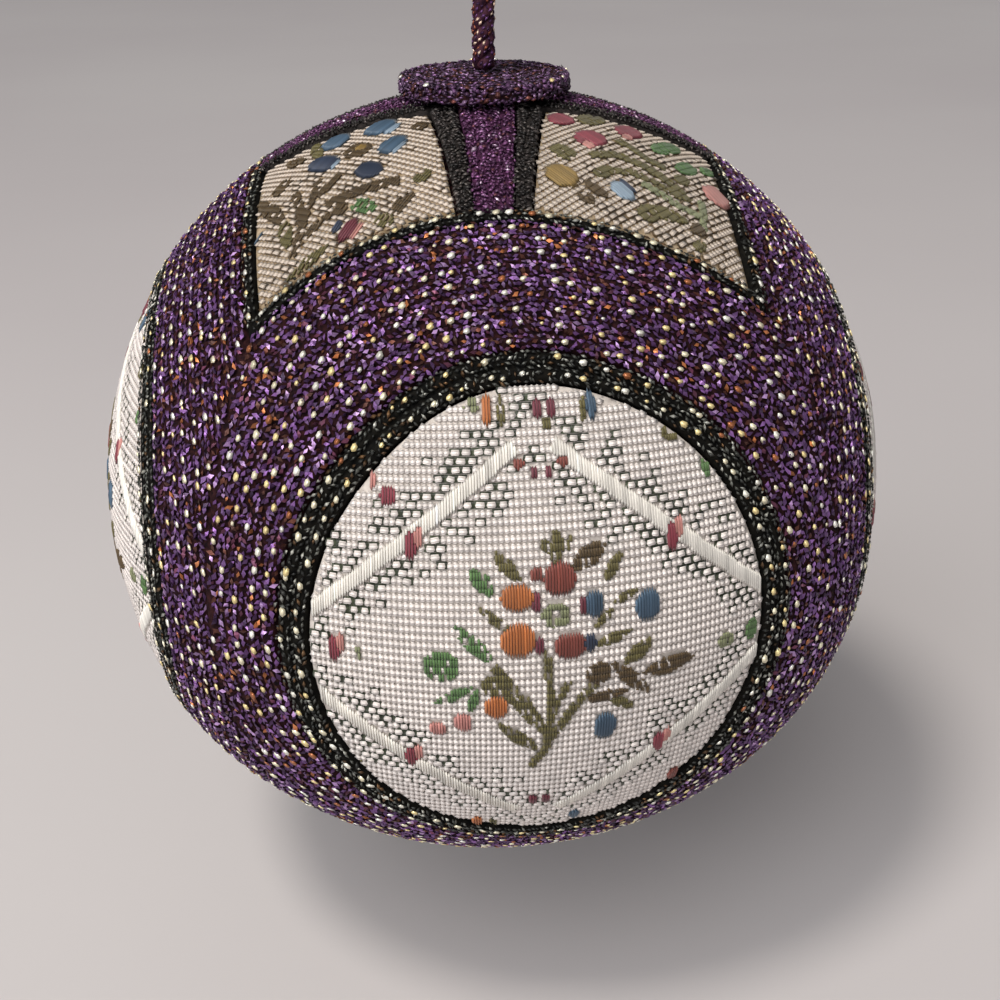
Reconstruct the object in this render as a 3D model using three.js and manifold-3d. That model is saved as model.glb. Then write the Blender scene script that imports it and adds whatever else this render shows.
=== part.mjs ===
// A hanging ball ornament in the manner of a temari: four brocade roundels around the middle, each ringed
// by rows of metallic braid, brocade panels between the rings above and below, a coiled cap of braid at
// each pole, and a twisted cord that ends in a knotted loop.
// Millimetres, +Z up. The front roundel faces -Y, and the origin is the inside top of the loop.
import * as THREE from "three";
import { mergeVertices } from "three/addons/utils/BufferGeometryUtils.js";
import Module from "manifold-3d";

const wasm = await Module();
wasm.setup();

// Driving sizes
const BALL_RADIUS = 40; // over the crests of the braid, around the middle
const BASE_LIFT = 2; // how far the underside is pressed up
const BASE_EDGE_LATITUDE = 20; // degrees below the middle where that begins
const BASE_FLAT_LATITUDE = 75; // and where it is complete
const BRAID_WIDTH = 1.4; // one row of braid
const BRAID_VALLEY = 0.4; // how far two rows draw in where they meet
const COVER_DEPTH = 1.7; // from the braid's crests to the face that is glued down
const CLOTH_THICKNESS = 1.4;
const GAP = 0.3; // between pieces that lie against each other
const ROUNDELS = 4;
const ROUNDEL_ARC = 22.3; // from the roundel's centre to its edge along the ball, before it is drawn oval
const OVAL_RISE = 1.9; // degrees that the tops and feet of the roundels and their rings are drawn out
const OVAL_NARROWING = 2.5; // degrees that their sides are drawn in, at most
const OVAL_LATITUDE = 78; // degrees where the drawing out ends, at the caps
const TURN = 4.5; // degrees that the panels and strips are turned against the roundels
const TURN_BEGINS = 20; // degrees of latitude where that begins
const TURN_ENDS = 60; // and where it is complete
const RING_ROWS = 2;
const BAND_ROWS = 9;
const OUTER_ROWS = 1;
const STRIP_HALF_TOP = 5.05; // half the strip's width at the cap, with its dark edges
const STRIP_HALF_FOOT = 3.6; // and where it meets the band
const STRIP_PURPLE_SHARE = 0.525; // the purple part of that width
const CAP_RADIUS = 8.3;
const CAP_RISE = 1.6; // above the braid's crests
const CAP_SIDE = 2.4;
const CAP_COILS = 3;
const CAP_FLAT_RADIUS = 2.6; // the flat middle, which the ball can also rest on
const CORD_RADIUS = 1.15;
const CORD_PLIES = 3;
const CORD_LOBE = 0.16; // how far the plies stand out, as a share of the radius
const CORD_PITCH = 4.5; // one full turn of a ply
const KNOT_WALL = 1.0;

// The route of the cord in the X-Z plane, from the face of the cap up, around the loop and back to the knot
const KNOT_BOTTOM = 10.6;
const KNOT_TOP = 14.4;
const STRAND_OFFSET = 1.3; // of each strand from the middle of the knot
const LOOP_TOP = 29.2;
const CORD_ROUTE = [
  [0, GAP], [0, 3.5], [0, 6.8], [-0.5, 8.6], [-1.2, 10.1], [-STRAND_OFFSET, 12], [-STRAND_OFFSET, 14.6],
  [-2.3, 17], [-4.3, 20.4], [-5.2, 24], [-3.7, 27.6], [0, LOOP_TOP], [3.7, 27.6], [5.2, 24], [4.3, 20.4],
  [2.3, 17], [STRAND_OFFSET, 14.6], [STRAND_OFFSET, 12], [1.35, 10.4], [1.6, 9.2],
];

// How finely round shapes are divided
const SEGMENTS = 32;
const BED_STEPS = 4;
const CLOTH_STEPS = 3;
const SHELL_SEGMENTS = 36;
const SHELL_ROWS = 24;
const KNOT_SEGMENTS = 12;
const CORD_SIDES = 9;
const CORD_STEPS_PER_TURN = 7;
const REACH = 60; // of the shapes that only cut others

// Worked out from these
const HALF_GAP = GAP / 2;
const GLUE_RADIUS = BALL_RADIUS - COVER_DEPTH;
const CORE_RADIUS = GLUE_RADIUS - GAP;
const CLOTH_RADIUS = GLUE_RADIUS + CLOTH_THICKNESS;
const CAP_TOP = BALL_RADIUS + CAP_RISE;
const HALF_TURN = Math.PI;
const QUARTER_TURN = Math.PI / 2;
const QUARTER_DEGREES = 90;
const radians = THREE.MathUtils.degToRad;
const angleOfArc = (arc) => arc / BALL_RADIUS;
const ROUNDEL_EDGE = angleOfArc(ROUNDEL_ARC);
const RING_EDGE = ROUNDEL_EDGE + angleOfArc(RING_ROWS * BRAID_WIDTH);
const BAND_EDGE = RING_EDGE + angleOfArc(BAND_ROWS * BRAID_WIDTH);
const OUTER_EDGE = BAND_EDGE + angleOfArc(OUTER_ROWS * BRAID_WIDTH);
const EDGE_GAP = angleOfArc(HALF_GAP);

function material(color, roughness, metalness) {
  return new THREE.MeshStandardMaterial({ color, roughness, metalness });
}

const PURPLE_BRAID = material("#54305f", 0.45, 0.3);
const DARK_BRAID = material("#23281f", 0.5, 0.25);
const BROCADE = material("#d9d2c2", 0.6, 0);
const PURPLE_CORD = material("#5c2f55", 0.45, 0.3);

// Solids that can be joined and cut

function solidOf(geometry) {
  geometry.deleteAttribute("normal");
  geometry.deleteAttribute("uv");
  const merged = mergeVertices(geometry);
  const corners = merged.getIndex().array;
  const kept = [];
  for (let i = 0; i < corners.length; i += 3) {
    const [a, b, c] = corners.slice(i, i + 3);
    if (a !== b && b !== c && c !== a) kept.push(a, b, c);
  }
  return new wasm.Manifold(new wasm.Mesh({
    numProp: 3,
    vertProperties: new Float32Array(merged.getAttribute("position").array),
    triVerts: new Uint32Array(kept),
  }));
}

function geometryOf(solid) {
  const mesh = solid.getMesh();
  const geometry = new THREE.BufferGeometry();
  geometry.setAttribute("position", new THREE.BufferAttribute(mesh.vertProperties, 3));
  geometry.setIndex(new THREE.BufferAttribute(mesh.triVerts, 1));
  return geometry;
}

// A point of a section, at a radius from the ball's centre and an angle from the axis that it turns about
const polar = (radius, angle) => new THREE.Vector2(radius * Math.sin(angle), radius * Math.cos(angle));

function arc(radius, from, to, steps) {
  return Array.from({ length: steps + 1 }, (_, i) => polar(radius, from + ((to - from) * i) / steps));
}

// A closed section turned about the axis of the front roundel
function aboutFront(section) {
  return new THREE.LatheGeometry(section, SEGMENTS).rotateX(HALF_TURN);
}

// A closed section turned about the ball's upright axis
function aboutUpright(section) {
  return new THREE.LatheGeometry(section, SEGMENTS).rotateX(QUARTER_TURN);
}

// The crests and valleys of rows of braid laid side by side, from one angle to another
function braidRows(from, to, rows) {
  const valley = BALL_RADIUS - BRAID_VALLEY;
  const points = [];
  for (let row = 0; row < rows; row += 1) {
    const start = from + ((to - from) * row) / rows;
    const middle = from + ((to - from) * (row + 0.5)) / rows;
    points.push(polar(valley, start), polar(BALL_RADIUS, middle));
  }
  points.push(polar(valley, to));
  return points;
}

// A ring of braid around the front roundel
function braidRing(from, to, rows, innerRadius, innerSteps) {
  const outside = braidRows(from, to, rows);
  const inside = arc(innerRadius, to, from, innerSteps);
  return aboutFront([...outside, ...inside, outside[0]].reverse());
}

function sphere(radius) {
  return solidOf(new THREE.SphereGeometry(radius, SHELL_SEGMENTS, SHELL_ROWS).rotateX(QUARTER_TURN));
}

// An outline in plan, as an upright block from one height to another
function block(outline, bottom, top) {
  const shape = new THREE.Shape(outline.map(([x, y]) => new THREE.Vector2(x, y)));
  const geometry = new THREE.ExtrudeGeometry(shape, { depth: top - bottom, bevelEnabled: false });
  return solidOf(geometry.translate(0, 0, bottom));
}

// The quarter of space that the front roundel looks out on, drawn in by a clearance from its two seams
function frontQuarter(clearance) {
  const tip = -clearance * Math.SQRT2;
  return block([[0, tip], [-REACH, tip - REACH], [REACH, tip - REACH]], -REACH, REACH);
}

// All that lies within an angle of the front roundel's axis
function frontCone(angle) {
  const rim = new THREE.Vector2(REACH * Math.tan(angle), REACH);
  return solidOf(aboutFront([new THREE.Vector2(0, 0), rim, new THREE.Vector2(0, REACH)]));
}

// The front strip in plan, from a share of its width, with a clearance added on each side
function stripBlock(share, clearance) {
  const reachAtFoot = GLUE_RADIUS * Math.cos(OUTER_EDGE);
  const slope = (STRIP_HALF_TOP - STRIP_HALF_FOOT) / (reachAtFoot - CAP_RADIUS);
  const halfAt = (distance) => share * (STRIP_HALF_TOP - slope * (distance - CAP_RADIUS)) + clearance;
  const far = BALL_RADIUS;
  return block([[-halfAt(0), 0], [-halfAt(far), -far], [halfAt(far), -far], [halfAt(0), 0]], 0, REACH);
}

const turned = (solid, quarters) => solid.rotate([0, 0, quarters * QUARTER_DEGREES]);

const upperHalf = block([[-REACH, -REACH], [REACH, -REACH], [REACH, REACH], [-REACH, REACH]], 0, REACH);
const capClearance = solidOf(
  new THREE.CylinderGeometry(CAP_RADIUS + GAP, CAP_RADIUS + GAP, 2 * REACH, SEGMENTS).rotateX(QUARTER_TURN),
);
const clothShell = sphere(CLOTH_RADIUS).subtract(sphere(GLUE_RADIUS));
const braidShell = sphere(BALL_RADIUS).subtract(sphere(GLUE_RADIUS));

// The ball with its four purple bands, which meet in seams half-way between the roundels. Each quarter is
// one section turned about its roundel, with the bed that the brocade and the dark braid lie on.
function woundBall() {
  const pastThePole = QUARTER_TURN + angleOfArc(BRAID_WIDTH);
  const from = RING_EDGE + EDGE_GAP;
  const to = BAND_EDGE - EDGE_GAP;
  const section = [
    ...arc(CORE_RADIUS, 0, from, BED_STEPS),
    ...braidRows(from, to, BAND_ROWS),
    ...arc(CORE_RADIUS, to, pastThePole, BED_STEPS),
    new THREE.Vector2(0, CORE_RADIUS * Math.cos(pastThePole)),
  ];
  const quarter = solidOf(aboutFront(section.reverse())).intersect(frontQuarter(0));
  let ball = quarter;
  for (let turns = 1; turns < ROUNDELS; turns += 1) ball = ball.add(turned(quarter, turns));
  return ball;
}

// A round of brocade, shaped to the ball
function roundel() {
  const edge = ROUNDEL_EDGE - EDGE_GAP;
  return aboutFront([...arc(GLUE_RADIUS, 0, edge, CLOTH_STEPS), ...arc(CLOTH_RADIUS, edge, 0, CLOTH_STEPS)]);
}

const darkRing = () => braidRing(ROUNDEL_EDGE + EDGE_GAP, RING_EDGE - EDGE_GAP, RING_ROWS, GLUE_RADIUS, 1);

// The dark row along the upper edge of the front band
function outerRow() {
  const row = solidOf(braidRing(BAND_EDGE + EDGE_GAP, OUTER_EDGE - EDGE_GAP, OUTER_ROWS, GLUE_RADIUS, 1));
  return row.intersect(frontQuarter(HALF_GAP)).intersect(upperHalf);
}

// The brocade between the front band, the band on its right, and their strips
function panel() {
  const quadrant = block([[0, 0], [0, -REACH], [REACH, -REACH], [REACH, 0]], 0, REACH);
  const outside = frontCone(OUTER_EDGE + EDGE_GAP).add(stripBlock(1, HALF_GAP));
  return clothShell.intersect(quadrant).subtract(outside).subtract(turned(outside, 1)).subtract(capClearance);
}

const aboveBand = (solid) => solid.subtract(frontCone(OUTER_EDGE + EDGE_GAP)).subtract(capClearance);

const strip = () => aboveBand(braidShell.intersect(stripBlock(STRIP_PURPLE_SHARE, -HALF_GAP)));

// The dark rows on one side of the front strip
function stripEdge(side) {
  const half = block([[0, 0], [0, -REACH], [side * REACH, -REACH], [side * REACH, 0]], 0, REACH);
  const rows = braidShell.intersect(stripBlock(1, -HALF_GAP)).intersect(half);
  return aboveBand(rows.subtract(stripBlock(STRIP_PURPLE_SHARE, HALF_GAP)));
}

// A disc of coiled braid over a pole
function cap() {
  const underside = arc(GLUE_RADIUS, 0, Math.asin(CAP_RADIUS / GLUE_RADIUS), CLOTH_STEPS);
  const coilWidth = (CAP_RADIUS - CAP_FLAT_RADIUS) / CAP_COILS;
  const side = [
    new THREE.Vector2(CAP_RADIUS, CAP_TOP - CAP_SIDE),
    new THREE.Vector2(CAP_RADIUS, CAP_TOP - 2 * BRAID_VALLEY),
  ];
  const coils = [];
  for (let coil = 0; coil < CAP_COILS; coil += 1) {
    const outer = CAP_RADIUS - coil * coilWidth;
    coils.push(new THREE.Vector2(outer - coilWidth / 2, CAP_TOP));
    if (coil < CAP_COILS - 1) coils.push(new THREE.Vector2(outer - coilWidth, CAP_TOP - BRAID_VALLEY));
  }
  const flat = [new THREE.Vector2(CAP_FLAT_RADIUS, CAP_TOP), new THREE.Vector2(0, CAP_TOP)];
  return aboutUpright([...underside, ...side, ...coils, ...flat]);
}

// A straight rope of plies, bent along the route with its twist
function hangCord() {
  const route = new THREE.CatmullRomCurve3(CORD_ROUTE.map(([x, z]) => new THREE.Vector3(x, 0, z)));
  const length = route.getLength();
  const section = new THREE.Shape(Array.from({ length: CORD_SIDES }, (_, i) => {
    const angle = (2 * Math.PI * i) / CORD_SIDES;
    const radius = CORD_RADIUS * (1 - (CORD_LOBE * (1 - Math.cos(CORD_PLIES * angle))) / 2);
    return new THREE.Vector2(radius * Math.cos(angle), radius * Math.sin(angle));
  }));
  const steps = Math.ceil((length / CORD_PITCH) * CORD_STEPS_PER_TURN);
  const rope = new THREE.ExtrudeGeometry(section, { depth: length, steps, bevelEnabled: false });
  const places = rope.getAttribute("position");
  const place = new THREE.Vector3();
  const sideways = new THREE.Vector3(0, 1, 0);
  for (let i = 0; i < places.count; i += 1) {
    place.fromBufferAttribute(places, i);
    const along = Math.min(1, place.z / length);
    const turn = Math.atan2(place.y, place.x) + (2 * Math.PI * place.z) / CORD_PITCH;
    const radius = Math.hypot(place.x, place.y);
    const across = new THREE.Vector3().crossVectors(sideways, route.getTangentAt(along));
    place.copy(route.getPointAt(along));
    place.addScaledVector(across, radius * Math.cos(turn));
    place.addScaledVector(sideways, radius * Math.sin(turn));
    places.setXYZ(i, place.x, place.y, place.z);
  }
  return rope;
}

// The whipping that holds the two strands together, with a clear bore for each
function cordKnot() {
  const radius = CORD_RADIUS + GAP + KNOT_WALL;
  const outline = new THREE.Shape();
  outline.absarc(-STRAND_OFFSET, 0, radius, QUARTER_TURN, QUARTER_TURN + HALF_TURN);
  outline.absarc(STRAND_OFFSET, 0, radius, -QUARTER_TURN, QUARTER_TURN);
  const whipping = new THREE.ExtrudeGeometry(outline, {
    depth: KNOT_TOP - KNOT_BOTTOM,
    bevelEnabled: false,
    curveSegments: KNOT_SEGMENTS / 2,
  });
  const boreRadius = CORD_RADIUS + GAP;
  const bore = solidOf(
    new THREE.CylinderGeometry(boreRadius, boreRadius, REACH, KNOT_SEGMENTS).rotateX(QUARTER_TURN),
  );
  const bores = bore.translate([-STRAND_OFFSET, 0, 0]).add(bore.translate([STRAND_OFFSET, 0, 0]));
  return geometryOf(solidOf(whipping.translate(0, 0, KNOT_BOTTOM)).subtract(bores));
}

// The scene graph

function piece(parent, name, geometry, finish) {
  const mesh = new THREE.Mesh(geometry, finish);
  mesh.name = name;
  parent.add(mesh);
}

function groupIn(parent) {
  const group = new THREE.Group();
  parent.add(group);
  return group;
}

// Places a point of the ball as the maker's hand did. It is drawn out towards the pole and in towards the
// middle of its roundel, which makes the roundels and their rings oval. Above and below the roundels it is
// also turned a little about the upright axis.
function layByHand(place) {
  const radius = Math.max(place.length(), GAP);
  const latitude = Math.asin(place.z / radius);
  const longitude = Math.atan2(place.y, place.x);
  const level = Math.cos(latitude);
  const limit = radians(OVAL_LATITUDE);
  const inside = Math.abs(latitude) < limit;
  const rise = inside ? radians(OVAL_RISE) * Math.sin((Math.PI * latitude) / limit) : 0;
  const narrowing = radians(OVAL_NARROWING) * Math.sin(ROUNDELS * longitude) * level * level;
  const height = Math.abs(latitude);
  const turn = radians(TURN) * THREE.MathUtils.smoothstep(height, radians(TURN_BEGINS), radians(TURN_ENDS));
  const north = latitude + rise;
  const east = longitude - narrowing - Math.sign(latitude) * turn;
  place.set(Math.cos(north) * Math.cos(east), Math.cos(north) * Math.sin(east), Math.sin(north));
  return place.multiplyScalar(radius);
}

// A copy of a piece of the ball in its final shape: laid by hand, and pressed up where it lies on the
// underside. In the group that is turned over, down is +Z.
function shaped(geometry, down) {
  const copy = geometry.clone();
  const places = copy.getAttribute("position");
  const place = new THREE.Vector3();
  const begins = Math.sin(radians(BASE_EDGE_LATITUDE));
  const ends = Math.sin(radians(BASE_FLAT_LATITUDE));
  for (let i = 0; i < places.count; i += 1) {
    layByHand(place.fromBufferAttribute(places, i));
    const depth = (down * place.z) / Math.max(place.length(), GAP);
    place.z -= down * BASE_LIFT * THREE.MathUtils.smoothstep(depth, begins, ends);
    places.setXYZ(i, place.x, place.y, place.z);
  }
  return copy;
}

const ornament = new THREE.Group();
const ball = groupIn(ornament);
ball.position.z = CORD_RADIUS - LOOP_TOP - CAP_TOP;

piece(ball, "wound_ball", shaped(geometryOf(woundBall()), -1), PURPLE_BRAID);

const roundelGeometry = shaped(roundel(), -1);
const darkRingGeometry = shaped(darkRing(), -1);
const outerRowGeometry = geometryOf(outerRow());
const panelGeometry = geometryOf(panel());
const stripGeometry = geometryOf(strip());
const leftEdgeGeometry = geometryOf(stripEdge(-1));
const rightEdgeGeometry = geometryOf(stripEdge(1));
const capGeometry = cap();

for (let quarter = 0; quarter < ROUNDELS; quarter += 1) {
  const side = groupIn(ball);
  side.rotation.z = quarter * QUARTER_TURN;
  piece(side, `roundel_${quarter + 1}`, roundelGeometry, BROCADE);
  piece(side, `dark_ring_${quarter + 1}`, darkRingGeometry, DARK_BRAID);
}

for (const [half, lean, down] of [["upper", 0, -1], ["lower", HALF_TURN, 1]]) {
  const end = groupIn(ball);
  end.rotation.y = lean;
  piece(end, `${half}_cap`, shaped(capGeometry, down), PURPLE_BRAID);
  for (let quarter = 0; quarter < ROUNDELS; quarter += 1) {
    const side = groupIn(end);
    side.rotation.z = quarter * QUARTER_TURN;
    const number = quarter + 1;
    piece(side, `${half}_outer_row_${number}`, shaped(outerRowGeometry, down), DARK_BRAID);
    piece(side, `${half}_panel_${number}`, shaped(panelGeometry, down), BROCADE);
    piece(side, `${half}_strip_${number}`, shaped(stripGeometry, down), PURPLE_BRAID);
    piece(side, `${half}_strip_edge_left_${number}`, shaped(leftEdgeGeometry, down), DARK_BRAID);
    piece(side, `${half}_strip_edge_right_${number}`, shaped(rightEdgeGeometry, down), DARK_BRAID);
  }
}

const hanger = groupIn(ornament);
hanger.position.z = CORD_RADIUS - LOOP_TOP;
piece(hanger, "hang_cord", hangCord(), PURPLE_CORD);
piece(hanger, "cord_knot", cordKnot(), PURPLE_CORD);

export default ornament;
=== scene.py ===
# %% [markdown]
# # A hanging ball of brocade and braid
#
# This ornament is a light ball about 80 mm across. Its maker glued four rounds of ribbed brocade around the
# middle, small brocade panels above and below, and row upon row of metallic braid between them. A coiled cap
# covers each pole, and a twisted cord hangs the ball from a knotted loop.
# The imported model gives every piece its place. The script loads it first and reads the heights of its caps
# from it. The finished look has to match that box to a fraction of a millimetre.

# %% The frame
import math

import bmesh
import bpy
import numpy as np
from mathutils import Matrix, Quaternion, Vector


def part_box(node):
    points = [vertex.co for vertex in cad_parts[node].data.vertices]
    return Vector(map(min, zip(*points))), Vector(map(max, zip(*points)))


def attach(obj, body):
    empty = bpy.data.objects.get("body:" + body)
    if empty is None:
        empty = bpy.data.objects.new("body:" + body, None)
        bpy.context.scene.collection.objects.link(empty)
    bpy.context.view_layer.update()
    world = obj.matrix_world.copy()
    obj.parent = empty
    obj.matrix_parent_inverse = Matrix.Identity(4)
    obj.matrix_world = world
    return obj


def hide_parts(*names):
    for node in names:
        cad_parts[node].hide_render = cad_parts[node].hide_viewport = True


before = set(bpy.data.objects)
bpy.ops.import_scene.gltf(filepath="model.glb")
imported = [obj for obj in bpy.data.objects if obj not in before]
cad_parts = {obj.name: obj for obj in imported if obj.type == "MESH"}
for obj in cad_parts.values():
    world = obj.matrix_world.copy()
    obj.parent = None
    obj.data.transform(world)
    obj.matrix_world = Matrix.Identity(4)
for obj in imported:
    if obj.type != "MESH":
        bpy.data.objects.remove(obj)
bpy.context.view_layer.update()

print("CAD nodes:", len(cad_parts))

# %% [markdown]
# ## Measures
#
# All lengths are metres. A maker works from the size of the ball and the width of the braid, so these are
# the driving sizes here too. An arc along the ball divided by its radius is an angle from a roundel's axis.
# The ball's place comes from the frame: the face of the upper cap is a known height above its centre.

# %% Driving sizes
MM = 0.001
BALL_RADIUS = 40.0 * MM
BRAID_WIDTH = 1.4 * MM
GAP = 0.3 * MM
ROUNDEL_ARC = 22.3 * MM
RING_ROWS = 2
BAND_ROWS = 9
CAP_RADIUS = 8.3 * MM
CAP_TOP = 41.6 * MM
CORE_RADIUS = 38.0 * MM
GLUE_RADIUS = 38.3 * MM
STRIP_HALF_TOP = 5.05 * MM
STRIP_HALF_FOOT = 3.6 * MM
STRIP_PURPLE_SHARE = 0.525
BASE_LIFT = 2.0 * MM
BASE_BEGINS = math.sin(math.radians(20.0))
BASE_ENDS = math.sin(math.radians(75.0))
OVAL_RISE = math.radians(1.9)
OVAL_NARROWING = math.radians(2.5)
OVAL_LATITUDE = math.radians(78.0)
TURN = math.radians(4.5)
TURN_BEGINS = math.radians(20.0)
TURN_ENDS = math.radians(60.0)
ROUNDELS = 4

QUARTER_TURN = math.pi / 2
HALF_TURN = math.pi
FULL_TURN = 2 * math.pi
ROUNDEL_EDGE = ROUNDEL_ARC / BALL_RADIUS
RING_EDGE = ROUNDEL_EDGE + RING_ROWS * BRAID_WIDTH / BALL_RADIUS
BAND_EDGE = RING_EDGE + BAND_ROWS * BRAID_WIDTH / BALL_RADIUS
OUTER_EDGE = BAND_EDGE + BRAID_WIDTH / BALL_RADIUS
EDGE_GAP = GAP / 2 / BALL_RADIUS

cap_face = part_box("upper_cap")[1].z
BALL_CENTRE = Vector((0.0, 0.0, cap_face - CAP_TOP))
QUARTERS = (0, 1, 2, 3)
HALVES = ("upper", "lower")
print("ball centre", [round(c, 5) for c in BALL_CENTRE], "roundel edge", round(math.degrees(ROUNDEL_EDGE), 2))

# %% [markdown]
# ## Camera
#
# The picture was taken close up, a little from the left and from above, so the ball shows its top and only
# part of its sides. The camera looks straight at the ball's centre, with a slight roll because the ball hangs
# a little askew. A small shift of the film places the ball in the frame without turning the view.

# %% Camera
VIEW_DISTANCE = 160.0 * MM
VIEW_TURN = math.radians(-6.25)
VIEW_HEIGHT = math.radians(23.57)
VIEW_ROLL = math.radians(-1.2)
LENS = 54.3
SENSOR = 36.0
SHIFT_RIGHT = 0.0077
SHIFT_UP = -0.0288

view_back = Vector((
    math.sin(VIEW_TURN) * math.cos(VIEW_HEIGHT),
    -math.cos(VIEW_TURN) * math.cos(VIEW_HEIGHT),
    math.sin(VIEW_HEIGHT),
))
camera_data = bpy.data.cameras.new("camera")
camera_data.lens = LENS
camera_data.sensor_width = SENSOR
camera_data.shift_x = SHIFT_RIGHT
camera_data.shift_y = SHIFT_UP
camera_data.clip_start = 10 * MM
camera = bpy.data.objects.new("camera", camera_data)
camera.location = BALL_CENTRE + view_back * VIEW_DISTANCE
level_view = view_back.to_track_quat("Z", "Y")
camera.rotation_euler = (level_view @ Quaternion((0.0, 0.0, 1.0), VIEW_ROLL)).to_euler()
bpy.context.scene.collection.objects.link(camera)
bpy.context.scene.camera = camera
print("camera at", [round(c, 4) for c in camera.location])

# %% [markdown]
# ## Finishes
#
# Every stitch is a small grain of its own, and each carries its colour in an attribute called tint. One
# material can then dye a whole row: the shader reads the tint, varies it a little with noise, and adds the
# fine lay of the threads as bump. Gold stitches are metal foil wrapped on a thread, so they get a partly
# metallic shader with the sharpest highlight. Their tints are pale, almost white, which adds a painted
# highlight to the foil's own gold.

# %% Colours
def linear(red, green, blue):
    """A colour given as 0 to 255 on screen, as the linear values that a shader takes."""
    shares = np.array([red, green, blue], float) / 255
    return np.where(shares <= 0.04045, shares / 12.92, ((shares + 0.055) / 1.055) ** 2.4)


def add_node(tree, kind, **settings):
    node = tree.nodes.new(kind)
    for key, value in settings.items():
        setattr(node, key, value)
    return node


def new_material(name):
    material = bpy.data.materials.new(name)
    material.use_nodes = True
    tree = material.node_tree
    return material, tree, tree.nodes["Principled BSDF"]


# %% A yarn that takes its colour from the stitch
def stitch_finish(name, roughness, metallic, sheen, variation, thread_count, thread_bump):
    material, tree, shader = new_material(name)
    tint = add_node(tree, "ShaderNodeAttribute", attribute_name="tint")
    places = add_node(tree, "ShaderNodeTexCoord")
    cloud = add_node(tree, "ShaderNodeTexNoise")
    cloud.inputs["Scale"].default_value = 700.0
    cloud.inputs["Detail"].default_value = 2.0
    spread = add_node(tree, "ShaderNodeMapRange")
    spread.inputs["From Min"].default_value = 0.3
    spread.inputs["From Max"].default_value = 0.7
    spread.inputs["To Min"].default_value = 1.0 - variation
    spread.inputs["To Max"].default_value = 1.0 + variation
    shade = add_node(tree, "ShaderNodeVectorMath", operation="SCALE")
    threads = add_node(tree, "ShaderNodeUVMap", uv_map="thread")
    lay = add_node(tree, "ShaderNodeTexWave", bands_direction="Y")
    lay.inputs["Scale"].default_value = thread_count
    lay.inputs["Distortion"].default_value = 0.6
    relief = add_node(tree, "ShaderNodeBump")
    relief.inputs["Strength"].default_value = thread_bump
    relief.inputs["Distance"].default_value = 0.05 * MM
    shader.inputs["Roughness"].default_value = roughness
    shader.inputs["Metallic"].default_value = metallic
    shader.inputs["Sheen Weight"].default_value = sheen
    shader.inputs["Sheen Roughness"].default_value = 0.4
    tree.links.new(places.outputs["Object"], cloud.inputs["Vector"])
    tree.links.new(cloud.outputs["Fac"], spread.inputs["Value"])
    tree.links.new(tint.outputs["Color"], shade.inputs[0])
    tree.links.new(spread.outputs["Result"], shade.inputs["Scale"])
    tree.links.new(shade.outputs["Vector"], shader.inputs["Base Color"])
    tree.links.new(threads.outputs["UV"], lay.inputs["Vector"])
    tree.links.new(lay.outputs["Fac"], relief.inputs["Height"])
    tree.links.new(relief.outputs["Normal"], shader.inputs["Normal"])
    return material


purple_yarn = stitch_finish(
    "purple_yarn", roughness=0.38, metallic=0.45, sheen=0.0, variation=0.2, thread_count=1.4, thread_bump=0.2,
)
dark_yarn = stitch_finish(
    "dark_yarn", roughness=0.4, metallic=0.4, sheen=0.0, variation=0.25, thread_count=1.4, thread_bump=0.2,
)
gold_foil = stitch_finish(
    "gold_foil", roughness=0.3, metallic=0.4, sheen=0.0, variation=0.06, thread_count=1.8, thread_bump=0.1,
)
silk_yarn = stitch_finish(
    "silk_yarn", roughness=0.55, metallic=0.0, sheen=0.15, variation=0.06, thread_count=1.6, thread_bump=0.45,
)
print("stitch finishes ready")


# %% The ground between stitches
MATT = 0.9
HALF_MATT = 0.6


def ground_finish(name, deep, pale, roughness, grain_scale):
    """The shaded threads low in the braid or the cloth, mottled between two colours."""
    material, tree, shader = new_material(name)
    places = add_node(tree, "ShaderNodeTexCoord")
    cloud = add_node(tree, "ShaderNodeTexNoise")
    cloud.inputs["Scale"].default_value = grain_scale
    cloud.inputs["Detail"].default_value = 4.0
    ramp = add_node(tree, "ShaderNodeValToRGB")
    ramp.color_ramp.elements[0].position = 0.35
    ramp.color_ramp.elements[0].color = (*deep, 1.0)
    ramp.color_ramp.elements[1].position = 0.65
    ramp.color_ramp.elements[1].color = (*pale, 1.0)
    relief = add_node(tree, "ShaderNodeBump")
    relief.inputs["Strength"].default_value = 0.6
    relief.inputs["Distance"].default_value = 0.1 * MM
    shader.inputs["Roughness"].default_value = roughness
    shader.inputs["Specular IOR Level"].default_value = 0.1
    tree.links.new(places.outputs["Object"], cloud.inputs["Vector"])
    tree.links.new(cloud.outputs["Fac"], ramp.inputs["Fac"])
    tree.links.new(ramp.outputs["Color"], shader.inputs["Base Color"])
    tree.links.new(cloud.outputs["Fac"], relief.inputs["Height"])
    tree.links.new(relief.outputs["Normal"], shader.inputs["Normal"])
    return material


purple_ground = ground_finish("purple_ground", linear(18, 9, 14), linear(50, 25, 26), MATT, 2400.0)
dark_ground = ground_finish("dark_ground", linear(8, 8, 8), linear(24, 22, 18), MATT, 1600.0)
strip_ground = ground_finish("strip_ground", linear(48, 24, 44), linear(86, 48, 78), MATT, 2400.0)
edge_ground = ground_finish("edge_ground", linear(26, 24, 23), linear(52, 47, 45), MATT, 2400.0)
ivory_ground = ground_finish("ivory_ground", linear(186, 176, 168), linear(208, 199, 191), MATT, 1800.0)
panel_ground = ground_finish("panel_ground", linear(124, 104, 78), linear(172, 154, 130), MATT, 1400.0)
cord_ground = ground_finish("cord_ground", linear(38, 18, 32), linear(78, 42, 54), HALF_MATT, 1500.0)
print("grounds ready")

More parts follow.
